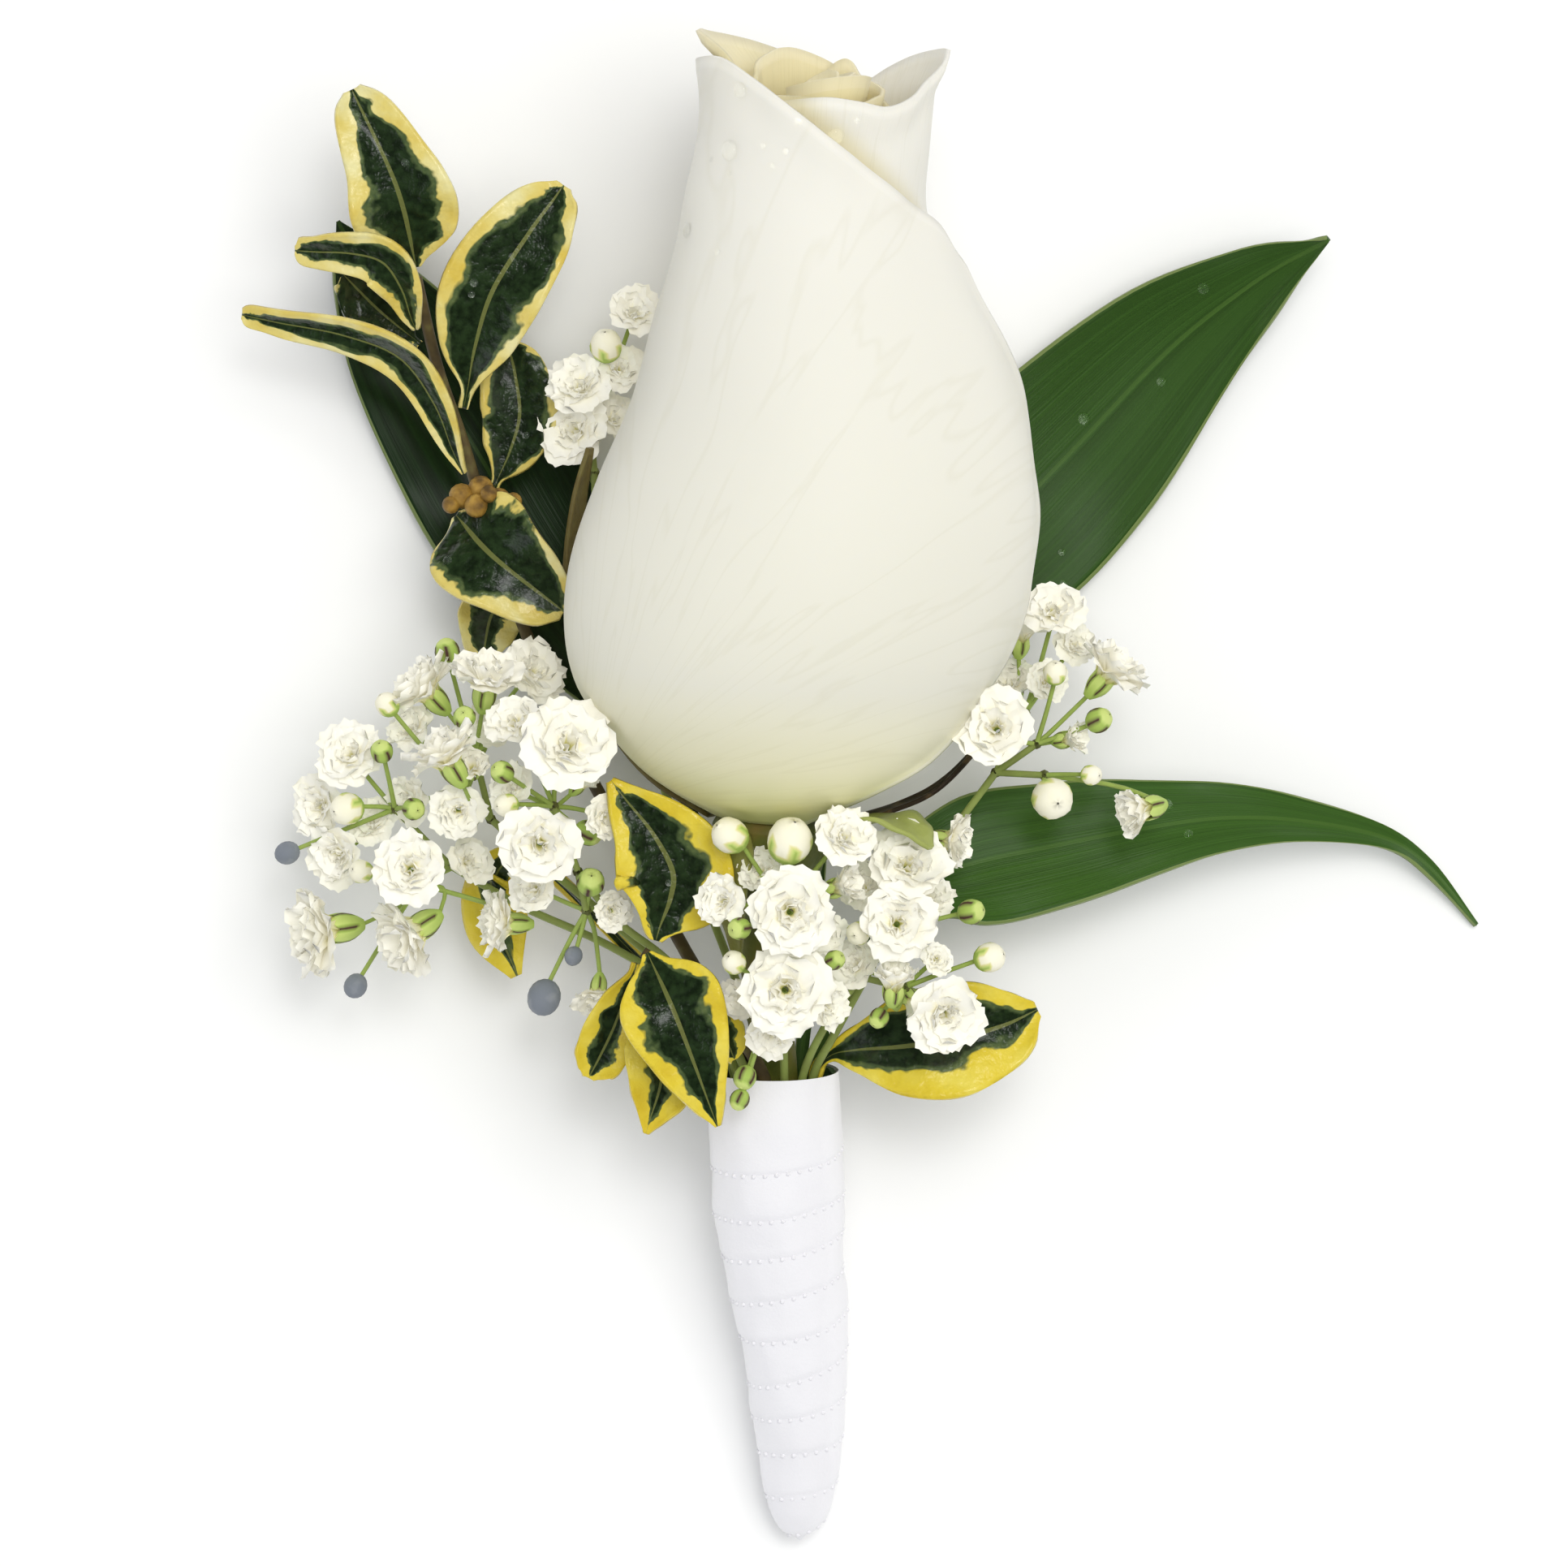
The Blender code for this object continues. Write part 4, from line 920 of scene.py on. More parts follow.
TRUNK, TWIG = 0.36, 0.2
TRUNK_ROWS, TWIG_ROWS = 60, 8
# Values of the attribute "part", which picks the colour of each point.
PETAL_TIP, PETAL_BASE, YOUNG, CALYX, STREAK, DRIED = 0.0, 0.3, 0.45, 0.6, 0.9, 1.0
HEAD_TWIG, TWIG_PART, KNOT = 0.68, 0.75, 0.8
# Slot, the trunk's points beyond the handle, and forks. A fork is a point and its heads: x, y, z,
# radius, kind and, for some, the way it faces in degrees round from the right. Kinds: open flower
# o, flower on its side s, half-open bell h, white bud b, green bud g, dried bud d.
SPRIGS = {
    "babys_breath_right": (
        1, ((-1.8, -18.8, 15.8), (2, -12, 15.4), (6.5, -4.5, 13.6), (10.5, 1, 12.4)),
        (
            (12.8, 5.6, 11.2), (14.9, 13.5, 13.6, 1.9, "o"), (12.5, 11.7, 9.6, 1.5, "h"),
            (11.8, 8, 9.4, 1.5, "o"), (16.6, 10.9, 11.6, 1.3, "o"), (14.4, 8, 13.2, 1.3, "o"),
        ),
        (
            (13.6, 3.2, 14), (10.2, 4.4, 20.4, 2.3, "o"), (19.2, 8.7, 15.4, 2, "s", 40),
            (16.2, 3.6, 14.6, 1.3, "h"), (14.9, 8.6, 17.4, 0.8, "b"), (18.3, 5, 16, 0.9, "g"),
        ),
        (
            (14.2, 0.8, 14), (14.7, -1, 17, 1.4, "b"), (21.5, -1.9, 16.2, 1.8, "h", 200),
            (17.7, 0.8, 16.4, 0.7, "b"),
        ),
    ),
    "babys_breath_lower_right": (
        2, ((-2.8, -18.6, 17.6), (0, -14.6, 18.8)),
        (
            (2.2, -11.2, 19.2), (3.6, -5.9, 22, 2.4, "o"), (2.8, -10.4, 23.2, 2.2, "o"),
            (7, -4.2, 17.2, 1.5, "s", 350), (-0.2, -11.2, 22.2, 0.8, "b"),
            (0.4, -7.6, 19.6, 1.6, "o"), (5.4, -8.4, 17.6, 1.5, "o"), (8.4, -9.6, 20.6, 0.9, "g"),
        ),
        (
            (3.4, -15.4, 18.9), (2.5, -14.9, 22.4, 1.6, "h", 90), (5.8, -13.2, 20.8, 1, "o"),
            (6.5, -17.5, 21.2, 2.3, "o"), (9.8, -13.1, 20, 1, "b"), (1.4, -17.7, 20, 0.7, "g"),
            (-0.4, -13.6, 18.8, 1.6, "o"), (4, -16.6, 18.4, 1.3, "h"),
        ),
    ),
    "babys_breath_lower_middle": (
        3, ((-5.9, -18.2, 18.4), (-6.2, -14.2, 20.6)),
        (
            (-6, -9.6, 21.8), (-10.6, -8.7, 23.8, 1.5, "o"), (-5.3, -9.5, 26, 2.5, "o"),
            (-1.2, -3.8, 24.6, 1.8, "o"), (-1.4, -7.6, 22.6, 1.5, "h"), (-9.9, -3.8, 23, 1.2, "b"),
            (-5.4, -4.2, 24.2, 1.5, "b"), (-7.6, -6.4, 21.4, 1.4, "o"), (-2.9, -11.4, 21, 1.5, "o"),
            (-9.2, -10.8, 25, 0.8, "g"),
        ),
        (
            (-6.6, -15.2, 21.4), (-5.7, -15.4, 25, 2.6, "o"), (-6.9, -18.9, 21.6, 1.5, "o", 250),
            (-9.6, -13.4, 23.4, 0.8, "b"), (-9.2, -16.2, 20.6, 1.4, "o"),
            (-2.4, -16.8, 20.4, 1.4, "o"), (-2, -13.2, 24, 0.7, "g"), (-8.8, -22.2, 20.6, 0.8, "g"),
            (-9.2, -23.9, 20.6, 0.7, "g"),
        ),
    ),
    "babys_breath_left_front": (
        5, ((-10.6, -18.6, 15.4), (-14.6, -13.6, 15.4), (-18.6, -10.4, 15.8), (-21.6, -6.6, 17)),
        (
            (-23.4, -1.6, 18.6), (-22.1, 3.2, 23.8, 2.7, "o"), (-24.4, -4.5, 23.6, 2.4, "o"),
            (-26.4, 4.9, 20, 1.7, "o"), (-19.4, -2.4, 19.4, 1.3, "o"),
            (-26.6, -0.2, 19.4, 1.5, "o"), (-21.3, 0.2, 17, 1, "h"), (-27.2, 1, 22, 0.8, "g"),
            (-26.9, -1.5, 21.4, 0.8, "b"), (-20.8, -3.6, 17.4, 0.9, "g"),
        ),
        (
            (-21, -9.6, 15.2), (-25, -7.8, 17, 1.6, "o"), (-18.9, -9.6, 16.6, 1.2, "o"),
            (-20.6, -7.4, 18, 1, "g"), (-20.2, -16.2, 13.4, 1.4, "s", 270),
            (-24.3, -16.3, 13.6, 1.3, "d"), (-22, -13.1, 14.8, 0.7, "d"),
        ),
    ),
    "babys_breath_left_upper": (
        6, ((-12, -17.2, 12.9), (-19, -10.6, 12.4), (-25, -5.6, 12.4), (-28.4, -2.6, 13.4)),
        (
            (-29.6, 2.4, 14.4), (-33.4, 7.4, 14, 2, "s", 150), (-28.6, 8, 17, 2, "s", 80),
            (-25, 8.9, 11.6, 2, "o"), (-31.8, 10.3, 12.4, 0.9, "g"), (-30.2, 5.2, 19, 0.8, "g"),
            (-26, 5.6, 15.8, 0.7, "g"),
        ),
        (
            (-30.6, -0.6, 15.6), (-31.6, 2.2, 20, 2.1, "s", 110), (-34.6, 4.4, 13, 1.5, "o"),
            (-28.2, 4.6, 14, 1.6, "o"), (-34.8, -1.2, 13.6, 1.5, "o"), (-29.6, 1.4, 18.4, 1.3, "h"),
            (-30.8, -2, 17.2, 1.6, "o"), (-36.3, 6.2, 14.6, 0.8, "b"),
        ),
    ),
    "babys_breath_left_outer": (
        7, ((-12.6, -16.8, 11.4), (-19, -12.6, 10.4), (-26, -9.4, 10.8), (-31.6, -6.2, 12)),
        (
            (-35.8, -1.8, 13.2), (-39.2, 2.4, 15, 2, "o"), (-36.6, 2.6, 17.2, 0.8, "g"),
            (-39.4, -1.8, 14.4, 1.1, "b"), (-41.8, -1.6, 11.2, 1.8, "o"),
            (-40.4, -5.4, 12, 1.9, "o"), (-34.2, -1.8, 16.6, 0.8, "g"),
            (-44.2, -5.2, 11.6, 0.9, "d"),
        ),
        (
            (-34, -7.6, 12.6), (-34.4, -6.3, 19.2, 2.1, "o"), (-41.4, -11.2, 12, 2.5, "s", 200),
            (-34.6, -11.4, 15, 2.3, "s", 215), (-38.3, -6.6, 14.8, 0.8, "b"),
            (-37.6, -2.8, 12, 1.5, "o"), (-30, -5.8, 13.6, 1.5, "o"), (-39, -15.5, 10.4, 0.9, "d"),
            (-27.4, -10.6, 14.8, 1.8, "s", 170),
        ),
    ),
    "babys_breath_upper_left": (
        10,
        ((-10, -14, 7.6), (-14.6, -2, 5.2), (-17.6, 8, 4.6), (-20.2, 19, 5.6), (-20.6, 24.4, 7)),
        (
            (-20.8, 27, 8), (-17.4, 36.6, 11, 1.7, "o"), (-21.8, 31, 10, 1.9, "o"),
            (-22.2, 27.6, 8.6, 2.2, "o"), (-19, 28.6, 8, 1.6, "o"), (-18.6, 32.4, 9.6, 1.6, "o"),
            (-19.6, 34, 10.4, 1.1, "b"),
        ),
    ),
}
# Rings of petals in a flower, from outside in: petals, length, width, and rise in degrees. Lengths
# are shares of the flower's radius.
OPEN_RINGS = (
    (7, 1, 0.98, 4), (7, 0.88, 0.86, 22), (6, 0.74, 0.74, 40), (5, 0.6, 0.6, 58),
    (4, 0.46, 0.46, 78),
)
LOOSE_RINGS = ((6, 1.04, 1.04, 14), (6, 0.86, 0.86, 34), (5, 0.7, 0.66, 56), (4, 0.5, 0.46, 80))
SIDE_RINGS = ((7, 1, 0.98, 12), (7, 1.04, 0.86, 32), (6, 1, 0.7, 52), (4, 0.9, 0.56, 72))
BELL_RINGS = ((6, 1, 0.84, 44), (5, 0.96, 0.7, 60), (4, 0.9, 0.5, 78))
PETAL_STEPS = 7
PETAL_ACROSS = 7


class Shape:
    """Points, faces and their "part" values, gathered before they become a mesh."""

    def __init__(self):
        self.points, self.faces, self.parts = [], [], []

    def put(self, points, faces, parts):
        start = len(self.points)
        self.points += points
        self.faces += [tuple(start + corner for corner in face) for face in faces]
        self.parts += parts

    def mesh(self, name):
        made = bpy.data.meshes.new(name)
        made.from_pydata(self.points, [], self.faces)
        made.attributes.new("part", "FLOAT", "POINT").data.foreach_set("value", self.parts)
        made.shade_smooth()
        return made


def add_petal(shape, turn, length, width, rise, dice):
    """One ruffled, notched petal that leaves the calyx upright and bends out to its rise."""
    reach, level = 0.06, -0.35
    points, parts = [], []
    phase, ruffle = dice.uniform(0.0, 6.3), dice.uniform(0.03, 0.09)
    notch, tilt = dice.uniform(0.0, 0.12), dice.uniform(-0.16, 0.16)
    for row in range(PETAL_STEPS):
        part = row / (PETAL_STEPS - 1)
        slope = math.radians(mix(84.0, rise, ramp(0.0, 0.75, part)))
        if row:
            reach += math.cos(slope) * length / (PETAL_STEPS - 1)
            level += math.sin(slope) * length / (PETAL_STEPS - 1)
        half = width * (0.25 + 0.75 * part**0.7) * (1.0 - 0.4 * ramp(0.7, 1.0, part) ** 2) / 2.0
        for column in range(PETAL_ACROSS):
            share = 2.0 * column / (PETAL_ACROSS - 1) - 1.0
            tooth = (1.0 - abs(share)) * -notch + 0.035 * math.sin(8.0 * share + phase)
            pull = length * (tooth - 0.2 * share * share) * ramp(0.7, 1.0, part)
            lift = (ruffle * math.sin(5.4 * share + phase) + tilt * share) * part
            lift += 0.16 * half * share * share
            out = reach + math.cos(slope) * pull - math.sin(slope) * lift
            high = level + math.sin(slope) * pull + math.cos(slope) * lift
            sine, cosine = math.sin(turn), math.cos(turn)
            aside = share * half
            points.append((out * cosine - aside * sine, out * sine + aside * cosine, high))
            # Petal bases take a cream green that is partly their own colour and partly painted
            # shade where the petals crowd together.
            parts.append(mix(PETAL_BASE, PETAL_TIP, ramp(0.1, 0.6, part)))
    shape.put(points, grid_faces(PETAL_STEPS, PETAL_ACROSS), parts)


def add_calyx(shape, low, high, radius):
    """The green cup with five teeth and a dark streak between each two."""
    columns, rows = 20, 6
    points, parts = [], []
    for row in range(rows):
        part = row / (rows - 1)
        for column in range(columns):
            turn = 2.0 * math.pi * column / columns
            tooth = math.cos(turn * 5.0)
            top = mix(low, high + 0.12 * (high - low) * tooth, part)
            round_out = radius * math.sin(math.pi * mix(0.12, 0.62, part))
            points.append((round_out * math.cos(turn), round_out * math.sin(turn), top))
            dark = tooth < -0.5 and part > 0.3
            parts.append(STREAK if dark else mix(CALYX, YOUNG, part))
    faces = [tuple(reversed(face)) for face in grid_faces(rows, columns, around=True)]
    shape.put(points, faces, parts)


def flower(name, rings, seed):
    dice = random.Random(seed)
    shape = Shape()
    add_calyx(shape, -0.72, -0.14, 0.3 if rings is BELL_RINGS else 0.26)
    for ring, (count, length, width, rise) in enumerate(rings):
        for petal in range(count):
            turn = 2.0 * math.pi * (petal + 0.5 * (ring % 2) + dice.uniform(-0.2, 0.2)) / count
            long, wide = length * dice.uniform(0.88, 1.1), width * dice.uniform(0.85, 1.15)
            add_petal(shape, turn, long, wide, rise + dice.uniform(-9.0, 9.0), dice)
    return shape.mesh(name)


def bud(name, streaked, dried=False):
    """A ball bud: white petals at the top of a green cup, or a green one with dark streaks."""
    columns, rows = 15, 10
    shape = Shape()
    points, parts = [], []
    for row in range(rows):
        part = row / (rows - 1)
        slope = math.pi * mix(0.02, 0.98, part)
        for column in range(columns):
            turn = 2.0 * math.pi * column / columns
            radius = math.sin(slope) * (1.0 + 0.05 * math.cos(5.0 * turn) * part)
            level = -1.12 * math.cos(slope)
            points.append((radius * math.cos(turn), radius * math.sin(turn), level))
            low = STREAK if column % 3 == 0 and 0.3 < part < 0.75 and streaked else CALYX
            edge = 0.75 if streaked else 0.5 + 0.12 * math.cos(5.0 * turn)
            parts.append(DRIED if dried else low if part < edge else YOUNG if streaked else 0.12)
    faces = [tuple(reversed(face)) for face in grid_faces(rows, columns, around=True)]
    faces.append(tuple(range(columns)))
    faces.append(tuple(reversed(range((rows - 1) * columns, rows * columns))))
    shape.put(points, faces, parts)
    return shape.mesh(name)


# Kinds of head: the shapes it may take, how far behind its centre its twig joins, how much it grows
# over its CAD ball, and how strongly it turns to face up.
HEADS = {
    "o": ((0, 1, 2, 3), 0.76, 1.7, 1.5),
    "s": ((4, 5), 0.76, 1.85, 0.3),
    "h": ((6,), 0.76, 1.8, 0.5),
    "b": ((7,), 1.1, 1.15, 0.5),
    "g": ((8,), 1.1, 1.1, 0.4),
    "d": ((9,), 1.1, 1, 0.4),
}
RINGS = (OPEN_RINGS, OPEN_RINGS, OPEN_RINGS, LOOSE_RINGS, SIDE_RINGS, SIDE_RINGS, BELL_RINGS)

# The shapes are picked by their place in the order of their names.
head_meshes = [flower(f"head_{place}", rings, place + 1) for place, rings in enumerate(RINGS)]
head_meshes += [bud("head_7", False), bud("head_8", True), bud("head_9", False, dried=True)]
heads_home = bpy.data.collections.new("head_shapes")
for mesh in head_meshes:
    heads_home.objects.link(bpy.data.objects.new(mesh.name, mesh))

# Thin white petals, cream green towards the middle of the flower, partly their own colour and
# partly painted shade deep in the tuft, and lime calyx with dark streaks.
# Light passes through petals this thin, and a little emission of their own colour stands for it.
gypsophila, tree, shader = new_material("gypsophila", Roughness=0.6, Emission_Strength=0.08)
mottle = place_noise(tree, 900.0)
tone = maths(tree, "MULTIPLY_ADD", mottle, 0.12, attribute(tree, "part"))
breath_tone = steps(
    tree,
    maths(tree, "SUBTRACT", tone, 0.06),
    (
        (0.0, "#f4f2e7"),
        (0.14, "#f0ecd4"),
        (0.3, "#dcd893"),
        (0.45, "#c3d27a"),
        (0.6, "#9fb856"),
        (0.77, "#7f8a4a"),
        (0.86, "#4a2c28"),
        (0.93, "#4a2c28"),
        (0.96, "#8f9398"),
        (1.0, "#777d86"),
    ),
)
tree.links.new(breath_tone, shader.inputs["Base Color"])
tree.links.new(breath_tone, shader.inputs["Emission Color"])


def new_group(name, **kinds):
    """A Geometry Nodes group and the sockets it is given: geometry, and others by their kind."""
    group = bpy.data.node_groups.new(name, "GeometryNodeTree")
    for title, kind in {"Geometry": "Geometry", **kinds}.items():
        group.interface.new_socket(title, in_out="INPUT", socket_type="NodeSocket" + kind)
    group.interface.new_socket("Geometry", in_out="OUTPUT", socket_type="NodeSocketGeometry")
    return group, add(group, "NodeGroupInput").outputs


def put_out(group, geometry, finish):
    """Makes a group's instances real, gives them their finish and puts them out."""
    realised = add(group, "GeometryNodeRealizeInstances", {0: geometry}).outputs[0]
    sockets = {"Geometry": realised, "Material": finish}
    finished = add(group, "GeometryNodeSetMaterial", sockets).outputs[0]
    add(group, "NodeGroupOutput", {0: finished})


def grown_sprig_group():
    """Geometry Nodes: sets a head on each point by its kind, turn and size, and adds the stems."""
    group, given = new_group("grown_sprig", Stems="Object", Heads="Collection", Finish="Material")

    def named(kind, name):
        node = add(group, "GeometryNodeInputNamedAttribute", {"Name": name}, data_type=kind)
        return node.outputs[0]

    sockets = {"Collection": given["Heads"], "Separate Children": True, "Reset Children": True}
    heads = add(group, "GeometryNodeCollectionInfo", sockets).outputs[0]
    turn = add(group, "FunctionNodeEulerToRotation", {"Euler": named("FLOAT_VECTOR", "turn")})
    sockets = {
        "Points": given["Geometry"],
        "Instance": heads,
        "Pick Instance": True,
        "Instance Index": named("INT", "kind"),
        "Rotation": turn.outputs[0],
        "Scale": named("FLOAT", "size"),
    }
    placed = add(group, "GeometryNodeInstanceOnPoints", sockets).outputs[0]
    stems = add(group, "GeometryNodeObjectInfo", {"Object": given["Stems"]}).outputs["Geometry"]
    joined = add(group, "GeometryNodeJoinGeometry", {0: placed})
    group.links.new(stems, joined.inputs[0])
    put_out(group, joined.outputs[0], given["Finish"])
    return group


def socket_id(group, name):
    """The identifier of a group's input, by which a modifier's value is set."""
    for item in group.interface.items_tree:
        if item.name == name and item.in_out == "INPUT":
            return item.identifier
    raise KeyError(name)


def grown_mesh(points, group, values):
    """The plain mesh that a Geometry Nodes group makes from an object's mesh."""
    holder = bpy.data.objects.new("holder", points)
    bpy.context.scene.collection.objects.link(holder)
    modifier = holder.modifiers.new("grow", "NODES")
    modifier.node_group = group
    for name, value in values.items():
        modifier[socket_id(group, name)] = value
    graph = bpy.context.evaluated_depsgraph_get()
    made = bpy.data.meshes.new_from_object(holder.evaluated_get(graph))
    bpy.data.objects.remove(holder, do_unlink=True)
    return made


def add_twig(stems, rows, part, sides=8):
    """Adds a tube along rows of x, y, z and radius to a sprig's stems."""
    points, faces = tube(rows, sides)
    stems.put([world(point) for point in points], faces, [part] * len(points))


sprig_group = grown_sprig_group()
for number, (name, (slot, beyond, *forks)) in enumerate(SPRIGS.items()):
    dice = random.Random(100 + number)
    stems = Shape()
    trunk_points = [*bound_end(slot), *beyond]
    rows = enumerate(smooth_path(trunk_points, TRUNK_ROWS))
    line = [(*point, TRUNK * mix(1.0, 0.8, index / (TRUNK_ROWS - 1))) for index, point in rows]
    add_twig(stems, line, TWIG_PART)
    hub = Vector(trunk_points[-1])
    places, turns, sizes, kinds = [], [], [], []
    for fork, *heads in forks:
        fork = Vector(fork)
        middle = (hub + fork) / 2.0 + Vector((0.0, 0.0, 0.3))
        rows = smooth_path([hub, middle, fork], TWIG_ROWS)
        add_twig(stems, [(*point, TWIG * 1.35) for point in rows], TWIG_PART, sides=7)
        for x, y, z in (hub, fork):
            add_twig(stems, [(x, y, z + step, 0.42 - abs(step)) for step in (-0.3, 0.0, 0.3)], KNOT)
        for x, y, z, radius, kind, *facing in heads:
            shapes, back, growth, upright = HEADS[kind]
            place = Vector((x, y, z))
            away = (place - fork).normalized()
            if facing:
                turn = math.radians(facing[0])
                away = Vector((math.cos(turn), math.sin(turn), 0.0))
            jitter = Vector((dice.uniform(-0.25, 0.25), dice.uniform(-0.25, 0.25), 0.0))
            front = (away + jitter + Vector((0.0, 0.0, upright))).normalized()
            size = radius * growth
            spin = Matrix.Rotation(dice.uniform(0.0, 6.3), 3, "Z")
            places.append(world(place))
            turns += (front.to_track_quat("Z", "Y").to_matrix() @ spin).to_euler()
            sizes.append(size * MM)
            kinds.append(dice.choice(shapes))
            joint = place - front * size * back * 0.9
            bend = (fork + joint) / 2.0 - front * size * 0.35
            rows = enumerate(smooth_path([fork, bend, joint], TWIG_ROWS))
            last = TWIG_ROWS - 1
            line = [(*point, TWIG * mix(1.0, 0.85, index / last)) for index, point in rows]
            add_twig(stems, line, HEAD_TWIG, sides=6)
    stems_holder = bpy.data.objects.new("stems_holder", stems.mesh("stems"))
    cloud = bpy.data.meshes.new("heads")
    cloud.from_pydata(places, [], [])
    cloud.attributes.new("turn", "FLOAT_VECTOR", "POINT").data.foreach_set("vector", turns)
    cloud.attributes.new("size", "FLOAT", "POINT").data.foreach_set("value", sizes)
    cloud.attributes.new("kind", "INT", "POINT").data.foreach_set("value", kinds)
    values = {"Stems": stems_holder, "Heads": heads_home, "Finish": gypsophila}
    mesh = grown_mesh(cloud, sprig_group, values)
    new_piece(name + "_shown", mesh, gypsophila, [name])
    bpy.data.objects.remove(stems_holder, do_unlink=True)
for holder in list(heads_home.objects):
    bpy.data.objects.remove(holder, do_unlink=True)


# ---------------------------------------------------------------- Floral tape
# Waxed green crepe tape holds the stems together under the ribbon. It shows only as a dark rim
# inside the handle's open top, so the CAD sleeve itself is shown, with a crinkled tape finish.

tape_stops = ((0.3, "#2c4a22"), (0.7, "#4a6d37"))
floral_tape = grained_material("waxed_crepe_tape", 0.7, 1400.0, 4.0, tape_stops, 0.6)
tape = frame["nodes"]["floral_tape"]
tape.data.materials.clear()
tape.data.materials.append(floral_tape)


# ---------------------------------------------------------------- Satin ribbon
# One white satin ribbon, 10 mm wide, is wound from the tip of the handle up to its top, each turn
# over most of the last, and drawn tight. Its lower edges show as rising lines with a woven picot
# edge.

RIBBON_WIDTH = 10.0
RIBBON_PITCH = 3.25
RIBBON_LOW_DEPTH = 36.9
RIBBON_TOP_DEPTH = 5.4
RIBBON_TIP_DEPTH = 37.3
COLUMNS_A_TURN = 72
RIBBON_ROWS = 16
LAYER_LEAN = 0.035
EDGE_TUCK = 0.15
PICOT_STEP = 0.9
PICOT_RADIUS = 0.2
PICOT_LEAN = 0.24


def ribbon_point(turn, depth, lean):
    """A point on the handle's skin. turn is in radians, and lean is how far under the outside."""
    x, z, radius = follow(HANDLE, depth)
    right, up = handle_sides(depth)
    wrinkle = 0.3 * noise.noise(Vector((math.cos(turn) * 1.5, math.sin(turn) * 1.5, depth * 0.22)))
    wrinkle += 0.06 * noise.noise(Vector((math.cos(turn) * 4.0, math.sin(turn) * 4.0, depth * 0.6)))
    wrinkle = max(wrinkle, -0.12) * ramp(0.5, 4.0, depth) * ramp(36.0, 30.0, depth)
    around = right * math.cos(turn) + up * math.sin(turn)
    return Vector((x, HANDLE_TOP_Y - depth, z)) + around * max(radius - lean + wrinkle, 0.05)


ribbon_turns = (RIBBON_LOW_DEPTH - RIBBON_TOP_DEPTH) / RIBBON_PITCH
ribbon_columns = int(ribbon_turns * COLUMNS_A_TURN)
points, uv, edge_line = [], [], []
run = 0.0
for column in range(ribbon_columns + 1):
    share = column / ribbon_columns
    # Over the top of the handle the turn goes from left to right as it climbs.
    turn = math.pi - 2.0 * math.pi * ribbon_turns * share
    low = mix(RIBBON_LOW_DEPTH, RIBBON_TOP_DEPTH, share)
    low += 0.9 * noise.noise(Vector((column * 0.016, 0.0, 5.0)))
    low = min(max(low, RIBBON_TOP_DEPTH), RIBBON_LOW_DEPTH)
    width = min(RIBBON_WIDTH, low - 0.05)
    for row in range(RIBBON_ROWS):
        part = (row / (RIBBON_ROWS - 1)) ** 1.6
        tuck = EDGE_TUCK * (1.0 - ramp(0.0, 0.4, part * width))
        lean = 0.12 + LAYER_LEAN * min(part * width, 7.0) + tuck
        points.append(ribbon_point(turn, low - width * part, lean))
        uv.append((run, part * width))
    edge_line.append(ribbon_point(turn, low, PICOT_LEAN))
    if column:
        run += (edge_line[-1] - edge_line[-2]).length
faces = grid_faces(ribbon_columns + 1, RIBBON_ROWS)

# The first turns are folded flat over the cut stems and close the handle's tip.
tip_start = len(points)
TIP_SIDES, TIP_RINGS = 36, 14
TIP_TOP_DEPTH, TIP_CLOSING_DEPTH, LAST_DEPTH = 32.4, 35.4, HANDLE[-1][0]
for ring in range(TIP_RINGS):
    part = ring / (TIP_RINGS - 1)
    depth = mix(TIP_TOP_DEPTH, RIBBON_TIP_DEPTH, math.sin(part * math.pi / 2.0))
    closing = ramp(TIP_CLOSING_DEPTH, RIBBON_TIP_DEPTH, depth)
    for side in range(TIP_SIDES):
        turn = 2.0 * math.pi * side / TIP_SIDES
        x, z, radius = follow(HANDLE, min(depth, LAST_DEPTH))
        right, up = handle_sides(min(depth, LAST_DEPTH))
        radius = (radius - 0.25) * math.sqrt(max(1.0 - closing ** 3, 0.0)) + 0.02
        around = right * math.cos(turn) + up * math.sin(turn)
        points.append(Vector((x, HANDLE_TOP_Y - depth, z)) + around * radius)
        uv.append((side * 0.3, depth))
for face in grid_faces(TIP_RINGS, TIP_SIDES, around=True):
    faces.append(tuple(tip_start + corner for corner in face))
mesh = new_mesh("ribbon", points, faces, uv=uv)

# White satin with a fine weave and soft creases.
satin, tree, shader = new_material(
    "white_satin", Roughness=0.34, Specular_IOR_Level=0.7, Sheen_Weight=0.2, Sheen_Roughness=0.4
)
shader.inputs["Base Color"].default_value = colour("#f0eff3")
flat = add(tree, "ShaderNodeUVMap", uv_map="UVMap").outputs["UV"]
weave = add(tree, "ShaderNodeMapping", {"Vector": flat, "Scale": (5.0, 5.0, 1.0)})
threads = add(tree, "ShaderNodeTexNoise", {"Vector": weave.outputs[0], "Scale": 1.0, "Detail": 2.0})
creases = place_noise(tree, 420.0)
relief = blend_colours(tree, 0.7, threads.outputs["Color"], creases)
bump(tree, shader, relief, 0.4, 0.0003)

ribbon = new_piece("satin_ribbon_wound", mesh, satin, ["ribbon_wrap"])

